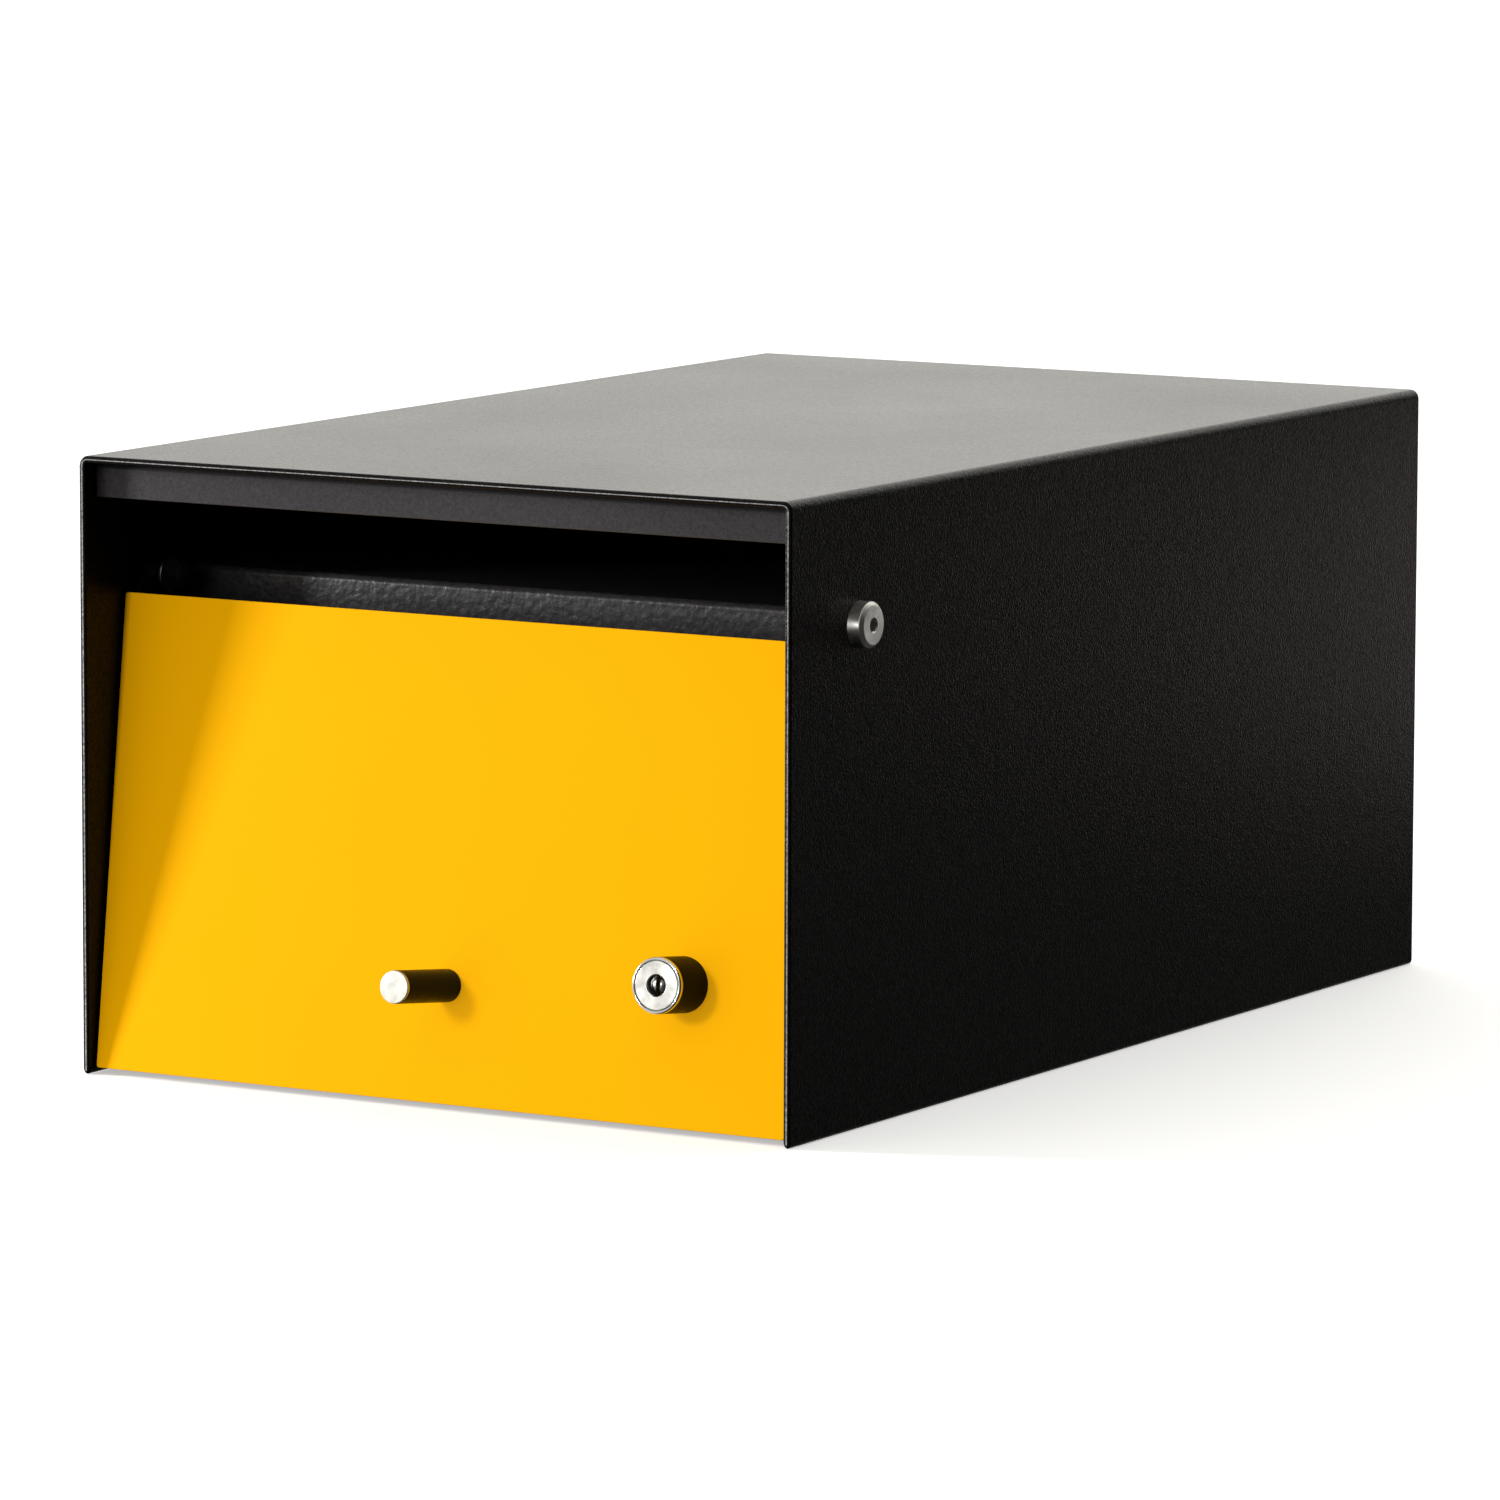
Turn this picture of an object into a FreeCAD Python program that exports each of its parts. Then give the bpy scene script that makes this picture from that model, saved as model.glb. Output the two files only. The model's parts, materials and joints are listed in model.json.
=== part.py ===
"""Steel letterbox with a top-hinged locking door and an open mail slot above it.

Row frame: X to the right seen from the front, Y into the depth, Z up, millimetres.
The origin is the centre of the post bolt pattern on the underside of the base.
The door and all that it carries are drawn flat, with their origin at the bottom centre
of the door's outer face, and are then leaned back by the door's tilt.
"""
import FreeCAD, Part
import os
import re

import Sketcher
from FreeCAD import Placement, Rotation, Vector

# Driving sizes. Round sizes are diameters. Each is written once and has its own cell.
SIZES = {
    # box
    "box_width": 267.5,
    "box_height": 203,
    "box_depth": 434,
    "wall": 2.4,
    "bend_outside": 3.2,
    "sheet": 1.6,
    "weld_gap": 0.3,
    # rain lip under the front of the roof
    "lip_setback": 6,
    "lip_drop": 13.9,
    "lip_ledge": 22,
    # mail shelf behind the door's hinge line
    "shelf_setback": 52.6,
    "shelf_drop": 39.9,
    "shelf_apron": 18,
    "shelf_run": 118,
    "shelf_cheek": 14,
    "shelf_tail": 9,
    # base with its upturned strike
    "strike_setback": 13.2,
    "strike_rise": 27,
    "strike_relief": 5.5,
    "base_cheek": 16,
    "cheek_setback": 34,
    "post_span_x": 150,
    "post_span_y": 260,
    "post_hole": 8.5,
    # back
    "back_flange": 15,
    "back_corner": 2.5,
    # door
    "door_tilt": 6.9,
    "door_foot_setback": 2.6,
    "door_foot_rise": 2.1,
    "door_top_drop": 46.4,
    "door_gap": 1,
    "face_sheet": 1.5,
    "face_corner": 1,
    "tape_thick": 0.8,
    "tape_wide": 12,
    "tape_inset": 4,
    "pan_inset": 0.8,
    "pan_deep": 13,
    "pan_hem": 7,
    "pan_clip": 5.5,
    "ear_round": 19.6,
    "ear_blend": 30,
    # pivots
    "pivot_setback": 41.7,
    "pivot_drop": 42.2,
    "bolt_head": 15,
    "bolt_head_rim": 3.2,
    "bolt_head_tall": 5.6,
    "bolt_crown": 9.6,
    "bolt_socket": 4,
    "bolt_socket_deep": 3,
    "bolt_shoulder": 8,
    "bolt_thread": 6,
    "bolt_tail": 6,
    "run_play": 0.05,
    "slip_play": 0.1,
    "end_play": 0.4,
    "bush_wall": 1,
    "bush_flange": 14,
    "bush_flange_thick": 1.1,
    "washer_round": 12,
    "washer_thick": 1.2,
    "nut_flats": 10,
    "nut_tall": 5,
    "nut_dome": 3.2,
    # buffers
    "buffer_round": 9,
    "buffer_play": 0.35,
    "buffer_spread": 60,
    "buffer_rise": 19,
    "buffer_crown": 0.8,
    # knob
    "knob_offset": 3,
    "knob_rise": 38,
    "knob_round": 10.7,
    "knob_proud": 32,
    "knob_disc": 10.5,
    "knob_disc_thick": 1.2,
    "knob_spigot": 4,
    "knob_spigot_long": 4,
    "knob_foot_chamfer": 0.5,
    "knob_thread": 5,
    "knob_screw_bite": 10,
    "knob_screw_head": 9,
    "knob_screw_tall": 3.2,
    "knob_washer": 14,
    "knob_washer_thick": 1,
    "screw_recess": 3,
    "screw_recess_deep": 1.8,
    # lock
    "lock_inset": 43.4,
    "lock_rise": 45.6,
    "lock_proud": 17,
    "barrel_round": 16,
    "barrel_spare": 2,
    "rim_ledge": 1,
    "rim_thick": 1.7,
    "rim_bevel": 0.4,
    "rim_wide": 0.9,
    "rim_recess_deep": 1.3,
    "plug_round": 12,
    "plug_groove": 0.4,
    "plug_disc_thick": 0.8,
    "plug_square": 7,
    "plug_square_long": 1.8,
    "key_round": 5.2,
    "key_round_deep": 3,
    "key_wide": 1.6,
    "key_tall": 7.2,
    "key_deep": 19,
    "wafer_thick": 0.9,
    "wafer_wide": 5,
    "wafer_tall": 10,
    "wafer_pitch": 2.4,
    "tooth_washer_ledge": 2.5,
    "tooth_washer_thick": 0.8,
    "lock_nut_ledge": 2,
    "lock_nut_tall": 4,
    "cam_thick": 2,
    "cam_wide": 16,
    "cam_reach": 28,
    "cam_washer": 10,
    "cam_washer_thick": 0.8,
    "cam_screw": 4,
    "cam_screw_flats": 7,
    "cam_screw_tall": 2.8,
    "cam_screw_bite": 6,
}

# Values that follow from the driving sizes, as expressions.
DERIVED = {
    "half_wide": "(box_width / 2)",
    "half_inside": "(half_wide - wall)",
    "half_liner": "(half_inside - weld_gap)",
    "front": "(-box_depth / 2)",
    "rear": "(box_depth / 2)",
    "ceiling": "(box_height - wall - weld_gap)",
    "bend_inside": "(bend_outside - wall)",
    "shelf_front": "(front + shelf_setback)",
    "shelf_top": "(box_height - shelf_drop)",
    "strike_front": "(front + strike_setback)",
    "pivot_y": "(front + pivot_setback)",
    "pivot_z": "(box_height - pivot_drop)",
    "foot_y": "(front + door_foot_setback)",
    "door_tall": "((box_height - door_top_drop - door_foot_rise) / cos(door_tilt))",
    "hinge_y": "(pivot_y - foot_y)",
    "hinge_z": "(pivot_z - door_foot_rise)",
    "hinge_back": "(hinge_y * cos(door_tilt) - hinge_z * sin(door_tilt))",
    "hinge_up": "(hinge_y * sin(door_tilt) + hinge_z * cos(door_tilt))",
    "half_face": "(half_inside - door_gap)",
    "half_pan": "(half_face - pan_inset)",
    "pan_front": "(face_sheet + tape_thick)",
    "pan_back": "(pan_front + sheet)",
    "pan_low": "(pan_inset)",
    "pan_high": "(door_tall - pan_inset)",
    "ear_reach": "(ear_round / 2)",
    "bush_round": "(bolt_shoulder + 2 * run_play + 2 * bush_wall)",
    "ear_to_outside": "(half_wide - half_pan)",
    "shoulder_long": "(ear_to_outside + sheet + end_play + slip_play)",
    "lock_x": "(half_wide - lock_inset)",
    "lock_round": "(barrel_round + 2 * rim_ledge)",
    "rim_recess": "(lock_round - 2 * rim_wide)",
    "plug_disc": "(rim_recess - 2 * plug_groove)",
    "tooth_washer": "(barrel_round + 2 * tooth_washer_ledge)",
    "lock_nut_flats": "(barrel_round + 2 * lock_nut_ledge)",
    "collar_long": "(lock_proud - rim_thick)",
    "nut_front": "(pan_back + tooth_washer_thick)",
    "barrel_end": "(nut_front + lock_nut_tall + barrel_spare)",
    "cam_front": "(barrel_end + end_play)",
    "cam_back": "(cam_front + cam_thick)",
    "disc_back": "(-lock_proud + rim_recess_deep - end_play)",
    "disc_front": "(disc_back - plug_disc_thick)",
    "square_end": "(cam_front + plug_square_long)",
}

doc = FreeCAD.newDocument("letterbox")
sizes = doc.addObject("Spreadsheet::Sheet", "sizes")
for row, (alias, value) in enumerate(SIZES.items(), start=1):
    sizes.set(f"A{row}", alias)
    sizes.set(f"B{row}", str(value))
    sizes.setAlias(f"B{row}", alias)
doc.recompute()

parts = {}


def full(text):
    """Write out derived names, then point each size at its cell."""
    def swap(found):
        word = found.group(0)
        if word in DERIVED:
            return full(DERIVED[word])
        if word in SIZES:
            return "sizes." + word
        return word
    return re.sub(r"(?<![\w.])[a-z]\w*", swap, str(text))


def number(text):
    """The present value of an expression."""
    return float(sizes.evalExpression(full(text)))


def bind(thing, path, text):
    thing.setExpression(path, full(text))


def origin_plane(body, role):
    return next(plane for plane in body.Origin.OriginFeatures if plane.Role == role)


def new_body(label):
    body = doc.addObject("PartDesign::Body", label)
    body.Label = label
    parts[label] = body
    return body


def new_sketch(body, plane, lift="0"):
    """A sketch on one of the body's own planes, lifted along that plane's normal."""
    sketch = body.newObject("Sketcher::SketchObject", "outline")
    sketch.AttachmentSupport = [(origin_plane(body, plane), "")]
    sketch.MapMode = "FlatFace"
    bind(sketch, "AttachmentOffset.Base.z", lift)
    return sketch


def pin_point(sketch, line, end, corner):
    """Tie one end of a line to two signed distances from the sketch's origin."""
    for kind, text in zip(("DistanceX", "DistanceY"), corner):
        index = sketch.addConstraint(Sketcher.Constraint(kind, -1, 1, line, end, number(text)))
        bind(sketch, f"Constraints[{index}]", text)


def draw_polygon(sketch, corners):
    points = [Vector(number(across), number(along), 0) for across, along in corners]
    first = sketch.GeometryCount
    count = len(points)
    for step, point in enumerate(points):
        sketch.addGeometry(Part.LineSegment(point, points[(step + 1) % count]), False)
    for step in range(count):
        following = first + (step + 1) % count
        sketch.addConstraint(Sketcher.Constraint("Coincident", first + step, 2, following, 1))
    for step, corner in enumerate(corners):
        pin_point(sketch, first + step, 1, corner)


def draw_circle(sketch, across, along, round_size):
    centre = Vector(number(across), number(along), 0)
    circle = sketch.addGeometry(Part.Circle(centre, Vector(0, 0, 1), number(round_size) / 2), False)
    pin_point(sketch, circle, 3, (across, along))
    index = sketch.addConstraint(Sketcher.Constraint("Diameter", circle, number(round_size)))
    bind(sketch, f"Constraints[{index}]", round_size)


def rectangle(low_x, low_y, high_x, high_y):
    return [(low_x, low_y), (high_x, low_y), (high_x, high_y), (low_x, high_y)]


def hexagon(flats):
    return [(f"{flats} / 2 / cos(30) * cos({60 * k})", f"{flats} / 2 / cos(30) * sin({60 * k})")
            for k in range(6)]


def extrude(body, sketch, kind, length, both_ways=False, flip=False):
    """Pad or pocket a sketch. The volume has to grow or shrink, or the step is refused."""
    before = body.Shape.Volume if body.Tip else 0
    feature = body.newObject(f"PartDesign::{kind}", kind.lower())
    feature.Profile = sketch
    feature.Midplane = both_ways
    feature.Reversed = flip
    bind(feature, "Length", length)
    doc.recompute()
    change = body.Shape.Volume - before
    if (change > 0) != (kind == "Pad") or abs(change) < 1e-6:
        raise ValueError(f"{body.Label}: {kind} on {sketch.Name} changed the volume by {change}")
    return feature


def pad_outline(body, plane, corners, length, both_ways=False, flip=False, lift="0"):
    sketch = new_sketch(body, plane, lift)
    draw_polygon(sketch, corners)
    return extrude(body, sketch, "Pad", length, both_ways, flip)


def cut_outline(body, plane, corners, length, both_ways=False, flip=False, lift="0"):
    sketch = new_sketch(body, plane, lift)
    draw_polygon(sketch, corners)
    return extrude(body, sketch, "Pocket", length, both_ways, flip)


def cut_rounds(body, plane, rounds, length, both_ways=True, flip=False, lift="0"):
    sketch = new_sketch(body, plane, lift)
    for across, along, round_size in rounds:
        draw_circle(sketch, across, along, round_size)
    return extrude(body, sketch, "Pocket", length, both_ways, flip)


def edges_along(shape, direction, spots):
    """Names of the straight edges along a direction that pass through the given spots."""
    names = []
    for index, edge in enumerate(shape.Edges, start=1):
        if not isinstance(edge.Curve, Part.Line):
            continue
        if abs(abs(edge.Curve.Direction.dot(direction)) - 1) > 1e-6:
            continue
        middle = edge.CenterOfMass
        flat = middle - direction * middle.dot(direction)
        if any((flat - spot).Length < 1e-3 for spot in spots):
            names.append(f"Edge{index}")
    return names


def round_edges(body, direction, spots, radius):
    base = body.Tip
    names = edges_along(base.Shape, direction, spots)
    if not names:
        raise ValueError(f"{body.Label}: no edge to round")
    fillet = body.newObject("PartDesign::Fillet", "bend")
    fillet.Base = (base, names)
    bind(fillet, "Radius", radius)
    doc.recompute()
    return fillet


def turn(label, outline):
    """A turned piece about its own Y axis. Corners are (radius, distance along the axis)."""
    body = new_body(label)
    sketch = new_sketch(body, "XY_Plane")
    draw_polygon(sketch, outline)
    revolution = body.newObject("PartDesign::Revolution", "turning")
    revolution.Profile = sketch
    revolution.ReferenceAxis = (sketch, ["V_Axis"])
    revolution.Angle = 360
    doc.recompute()
    return body


def ring(outer, inner, low, high):
    """The half section of a plain ring, from two diameters and two heights."""
    return rectangle(f"{inner} / 2", low, f"{outer} / 2", high)


def place(thing, spot, rotation=None):
    thing.Placement = Placement(Vector(*[number(text) for text in spot]), rotation or Rotation())
    for axis, text in zip("xyz", spot):
        bind(thing, f"Placement.Base.{axis}", text)


def place_on_door(thing, across="0", up="0", spin=0):
    """Stand a piece on the tilted door, at a place on its outer face."""
    lean = Rotation(Vector(-1, 0, 0), number("door_tilt"))
    thing.Placement = Placement(Vector(0, 0, 0), lean)
    bind(thing, "Placement.Base.x", across)
    bind(thing, "Placement.Base.y", f"foot_y + ({up}) * sin(door_tilt)")
    bind(thing, "Placement.Base.z", f"door_foot_rise + ({up}) * cos(door_tilt)")
    bind(thing, "Placement.Rotation.Angle", "door_tilt")


def group(label, members):
    """Several separate solids kept as one node."""
    bundle = doc.addObject("Part::Compound", label)
    bundle.Label = label
    bundle.Links = members
    for member in members:
        parts.pop(member.Label, None)
    parts[label] = bundle
    doc.recompute()
    return bundle


ALONG_Y = Vector(0, 1, 0)
ALONG_Z = Vector(0, 0, 1)


def make_hood_shell():
    """Roof and two sides, one sheet folded twice, with a hole for each pivot bolt."""
    body = new_body("hood_shell")
    outline = [("-half_wide", "0"), ("-half_inside", "0"),
               ("-half_inside", "box_height - wall"), ("half_inside", "box_height - wall"),
               ("half_inside", "0"), ("half_wide", "0"),
               ("half_wide", "box_height"), ("-half_wide", "box_height")]
    pad_outline(body, "XZ_Plane", outline, "box_depth", both_ways=True)
    for depth, radius in (("0", "bend_outside"), ("wall", "bend_inside")):
        x = number(f"half_wide - {depth}")
        z = number(f"box_height - {depth}")
        round_edges(body, ALONG_Y, [Vector(x, 0, z), Vector(-x, 0, z)], radius)
    cut_rounds(body, "YZ_Plane", [("pivot_y", "pivot_z", "bolt_shoulder + 2 * slip_play")],
               "box_width * 1.2")


def make_rain_lip():
    """Angle welded under the front of the roof: it shades the slot and hides its top."""
    body = new_body("rain_lip")
    lip_front = "front + lip_setback"
    lip_low = "box_height - lip_drop"
    outline = [(lip_front, lip_low), (f"{lip_front} + sheet", lip_low),
               (f"{lip_front} + sheet", "ceiling - sheet"),
               (f"{lip_front} + lip_ledge", "ceiling - sheet"),
               (f"{lip_front} + lip_ledge", "ceiling"), (lip_front, "ceiling")]
    pad_outline(body, "YZ_Plane", outline, "2 * half_liner", both_ways=True)


def make_mail_shelf():
    """Shelf that mail slides over. Its apron closes the gap behind the door's top edge."""
    body = new_body("mail_shelf")
    back = "shelf_front + shelf_run"
    outline = [("shelf_front", "shelf_top - shelf_apron"),
               ("shelf_front + sheet", "shelf_top - shelf_apron"),
               ("shelf_front + sheet", "shelf_top - sheet"),
               (f"{back} - sheet", "shelf_top - sheet"),
               (f"{back} - sheet", "shelf_top - shelf_tail"),
               (back, "shelf_top - shelf_tail"),
               (back, "shelf_top"), ("shelf_front", "shelf_top")]
    pad_outline(body, "YZ_Plane", outline, "2 * half_liner", both_ways=True)
    across = Vector(1, 0, 0)
    front_spot = Vector(0, number("shelf_front"), number("shelf_top"))
    round_edges(body, across, [front_spot], "sheet")
    for side in ("-", ""):
        inner = f"{side}(half_liner - sheet)"
        outer = f"{side}half_liner"
        cheek = rectangle(inner, "shelf_front + 2 * sheet", outer, f"{back} - 2 * sheet")
        pad_outline(body, "XY_Plane", cheek, "shelf_cheek - sheet / 2", flip=True,
                    lift="shelf_top - sheet / 2")


def make_base_pan():
    """Floor with an upturned front edge, which is the lock's strike, and two side cheeks."""
    body = new_body("base_pan")
    floor = rectangle("-half_liner", "strike_front", "half_liner", "rear")
    pad_outline(body, "XY_Plane", floor, "sheet")
    half_strike = "(half_pan - sheet - strike_relief)"
    strike = rectangle(f"-{half_strike}", "strike_front", half_strike, "strike_front + sheet")
    pad_outline(body, "XY_Plane", strike, "strike_rise")
    low = Vector(0, number("strike_front"), 0)
    round_edges(body, Vector(1, 0, 0), [low], "sheet / 2")
    for side in ("-", ""):
        cheek = rectangle(f"{side}(half_liner - sheet)", "front + cheek_setback",
                          f"{side}half_liner", "rear - back_flange - 2 * sheet")
        pad_outline(body, "XY_Plane", cheek, "base_cheek")
    holes = [(f"{side} * post_span_x / 2", f"{end} * post_span_y / 2", "post_hole")
             for side in (-1, 1) for end in (-1, 1)]
    cut_rounds(body, "XY_Plane", holes, "8 * sheet")


def make_back_panel():
    """Shallow pan that closes the back, its flanges turned in and welded to the hood."""
    body = new_body("back_panel")
    low = "sheet + weld_gap"
    outline = rectangle("-half_liner", low, "half_liner", "ceiling")
    pad_outline(body, "XZ_Plane", outline, "back_flange", flip=False, lift="-rear")
    x = number("half_liner")
    corners = [Vector(side * x, 0, number(height)) for side in (-1, 1) for height in (low, "ceiling")]
    round_edges(body, ALONG_Y, corners, "back_corner")
    inside = rectangle("-(half_liner - sheet)", f"{low} + sheet", "half_liner - sheet", "ceiling - sheet")
    cut_outline(body, "XZ_Plane", inside, "back_flange", flip=True, lift="-(rear - sheet)")


def make_door_pan():
    """Folded inner pan of the door. Its side flanges rise into two hinge ears."""
    body = new_body("door_pan")
    hem = "pan_front + pan_hem"
    cheek = [("pan_front", "pan_low"), (hem, "pan_low"), ("pan_deep", "pan_low + pan_clip"),
             ("pan_deep", "hinge_up - ear_blend"), ("hinge_back + ear_reach", "hinge_up"),
             ("hinge_back", "hinge_up + ear_reach"), ("pan_front", "pan_high")]
    pad_outline(body, "YZ_Plane", cheek, "2 * half_pan", both_ways=True)
    sketch = new_sketch(body, "YZ_Plane")
    draw_circle(sketch, "hinge_back", "hinge_up", "ear_round")
    extrude(body, sketch, "Pad", "2 * half_pan", both_ways=True)
    inside = rectangle("-(half_pan - sheet)", "-door_tall", "half_pan - sheet", "2 * door_tall")
    cut_outline(body, "XZ_Plane", inside, "door_tall", lift="-pan_back")
    for low in ("pan_low", "pan_high - sheet"):
        flange = rectangle("pan_front", low, hem, f"{low} + sheet")
        pad_outline(body, "YZ_Plane", flange, "2 * half_pan", both_ways=True)
    holes = [("knob_offset", "knob_rise", "knob_thread + 2 * slip_play"),
             ("lock_x", "lock_rise", "barrel_round + 2 * slip_play")]
    cut_rounds(body, "XZ_Plane", holes, "3 * pan_deep")
    cut_rounds(body, "YZ_Plane", [("hinge_back", "hinge_up", "bush_round + 2 * slip_play")],
               "box_width * 1.2")
    place_on_door(body)


def make_door_face():
    """Flat coloured panel that covers the pan, with holes for the knob and the lock."""
    body = new_body("door_face")
    outline = rectangle("-half_face", "0", "half_face", "door_tall")
    pad_outline(body, "XZ_Plane", outline, "face_sheet", flip=True)
    x = number("half_face")
    corners = [Vector(side * x, 0, number(up)) for side in (-1, 1) for up in ("0", "door_tall")]
    round_edges(body, ALONG_Y, corners, "face_corner")
    holes = [("knob_offset", "knob_rise", "knob_thread + 2 * slip_play"),
             ("lock_x", "lock_rise", "barrel_round + 2 * slip_play")]
    cut_rounds(body, "XZ_Plane", holes, "4 * face_sheet")
    place_on_door(body)


def make_face_tape():
    """Four foam tape strips that bond the face to the pan."""
    low = "(pan_low + tape_inset)"
    high = "(pan_high - tape_inset)"
    edge = "(half_pan - tape_inset)"
    strips = {
        "tape_left": ("-" + edge, low, "tape_wide", f"{high} - {low}"),
        "tape_right": (f"{edge} - tape_wide", low, "tape_wide", f"{high} - {low}"),
        "tape_top": (f"-{edge} + 1.5 * tape_wide", f"{high} - tape_wide",
                     f"2 * {edge} - 3 * tape_wide", "tape_wide"),
        "tape_bottom": (f"-{edge} + 1.5 * tape_wide", low,
                        f"2 * {edge} - 3 * tape_wide", "tape_wide"),
    }
    members = []
    for name, (x, z, wide, tall) in strips.items():
        strip = doc.addObject("Part::Box", name)
        strip.Label = name
        bind(strip, "Length", wide)
        bind(strip, "Width", "tape_thick")
        bind(strip, "Height", tall)
        place(strip, (x, "face_sheet", z))
        members.append(strip)
    place_on_door(group("face_tape", members))


def make_hinges():
    """Shoulder bolts through the sides, and what runs and holds on them, for each side."""
    shoulder = "bolt_shoulder / 2"
    thread = "bolt_thread / 2"
    tail = "shoulder_long + washer_thick + bolt_tail"
    bolt_outline = [("0", "-bolt_head_tall"), ("bolt_crown / 2", "-bolt_head_tall"),
                    ("(bolt_crown + 2 * bolt_head) / 6", "-(bolt_head_tall + bolt_head_rim) / 2 - 0.35"),
                    ("bolt_head / 2", "-bolt_head_rim"), ("bolt_head / 2", "0"), (shoulder, "0"),
                    (shoulder, "shoulder_long"), (thread, "shoulder_long"), (thread, tail), ("0", tail)]
    bush_inner = "(bolt_shoulder + 2 * run_play)"
    ear_outside = "ear_to_outside"
    bush_outline = [(f"{bush_inner} / 2", f"{ear_outside} - bush_flange_thick"),
                    ("bush_flange / 2", f"{ear_outside} - bush_flange_thick"),
                    ("bush_flange / 2", ear_outside), ("bush_round / 2", ear_outside),
                    ("bush_round / 2", f"{ear_outside} + sheet + slip_play"),
                    (f"{bush_inner} / 2", f"{ear_outside} + sheet + slip_play")]
    nut_front = "(shoulder_long + washer_thick)"
    dome_outline = [("bolt_thread / 2 + slip_play", nut_front), ("nut_flats / 2", nut_front),
                    ("nut_flats / 2", f"{nut_front} + nut_tall"),
                    ("nut_flats / 2 * cos(45)", f"{nut_front} + nut_tall + nut_dome * sin(45)"),
                    ("0", f"{nut_front} + nut_tall + nut_dome"), ("0", f"{nut_front} + bolt_tail + slip_play"),
                    ("bolt_thread / 2 + slip_play", f"{nut_front} + bolt_tail + slip_play")]
    washers = []
    nuts = []
    for side, sign, quarter in (("left", "-", -90), ("right", "", 90)):
        spot = (f"{sign}half_wide", "pivot_y", "pivot_z")
        inward = Rotation(Vector(0, 0, 1), quarter)
        bolt = turn(f"pivot_bolt_{side}", bolt_outline)
        cut_outline(bolt, "XZ_Plane", hexagon("bolt_socket"), "bolt_socket_deep",
                    lift="bolt_head_tall")
        bush = turn(f"hinge_bush_{side}", bush_outline)
        washer = turn(f"pivot_washer_{side}", ring("washer_round", "(bolt_thread + 2 * slip_play)",
                                                   "shoulder_long", nut_front))
        nut = turn(f"pivot_nut_{side}", dome_outline)
        sketch = new_sketch(nut, "XZ_Plane", f"-{nut_front}")
        draw_polygon(sketch, hexagon("nut_flats"))
        draw_circle(sketch, "0", "0", "bolt_thread + 2 * slip_play")
        extrude(nut, sketch, "Pad", "nut_tall", flip=True)
        for piece in (bolt, bush, washer, nut):
            place(piece, spot, inward)
        washers.append(washer)
        nuts.append(nut)
    group("pivot_washers", washers)
    group("pivot_cap_nuts", nuts)


def make_buffers():
    """Two soft buttons on the strike that the closed door rests against."""
    pan_plane = "(foot_y + pan_back / cos(door_tilt) + (buffer_rise - door_foot_rise) * tan(door_tilt))"
    reach = f"(strike_front - {pan_plane} - buffer_play - buffer_round / 2 * tan(door_tilt))"
    outline = [("0", f"-{reach}"), ("buffer_round / 2 - buffer_crown", f"-{reach}"),
               ("buffer_round / 2", f"-{reach} + buffer_crown"), ("buffer_round / 2", "0"), ("0", "0")]
    members = []
    for side, sign in (("left", "-"), ("right", "")):
        button = turn(f"buffer_{side}", outline)
        place(button, (f"{sign}buffer_spread", "strike_front", "buffer_rise"))
        members.append(button)
    group("door_buffers", members)


def make_knob():
    """Round pull: a black post, a bright end disc, and the screw that holds it from inside."""
    bore = "knob_thread / 2 + slip_play"
    spigot_bore = "knob_spigot / 2 + slip_play"
    tip = "(-knob_proud + knob_disc_thick)"
    bore_end = f"({tip} + knob_spigot_long + slip_play)"
    thread_end = "(-knob_screw_bite - 2)"
    post = turn("knob_post", [
        (spigot_bore, tip), ("knob_round / 2", tip), ("knob_round / 2", "-knob_foot_chamfer"),
        ("knob_round / 2 - knob_foot_chamfer", "0"), (bore, "0"), (bore, thread_end),
        ("0", thread_end), ("0", bore_end), (spigot_bore, bore_end)])
    disc = turn("knob_end_disc", [
        ("0", "-knob_proud"), ("knob_disc / 2", "-knob_proud"), ("knob_disc / 2", tip),
        ("knob_spigot / 2", tip), ("knob_spigot / 2", f"{tip} + knob_spigot_long"),
        ("0", f"{tip} + knob_spigot_long")])
    seat = "(pan_back + knob_washer_thick)"
    screw = turn("knob_screw", [
        ("0", "-knob_screw_bite"), ("knob_thread / 2", "-knob_screw_bite"), ("knob_thread / 2", seat),
        ("knob_screw_head / 2", seat), ("knob_screw_head / 2", f"{seat} + knob_screw_tall / 2"),
        ("knob_screw_head / 3", f"{seat} + knob_screw_tall"), ("0", f"{seat} + knob_screw_tall")])
    cut_outline(screw, "XZ_Plane", hexagon("screw_recess"), "screw_recess_deep",
                lift=f"-({seat} + knob_screw_tall)", flip=True)
    washer = turn("knob_washer", ring("knob_washer", "(knob_thread + 2 * slip_play)", "pan_back", seat))
    for piece in (post, disc, screw, washer):
        place_on_door(piece, "knob_offset", "knob_rise")


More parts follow.
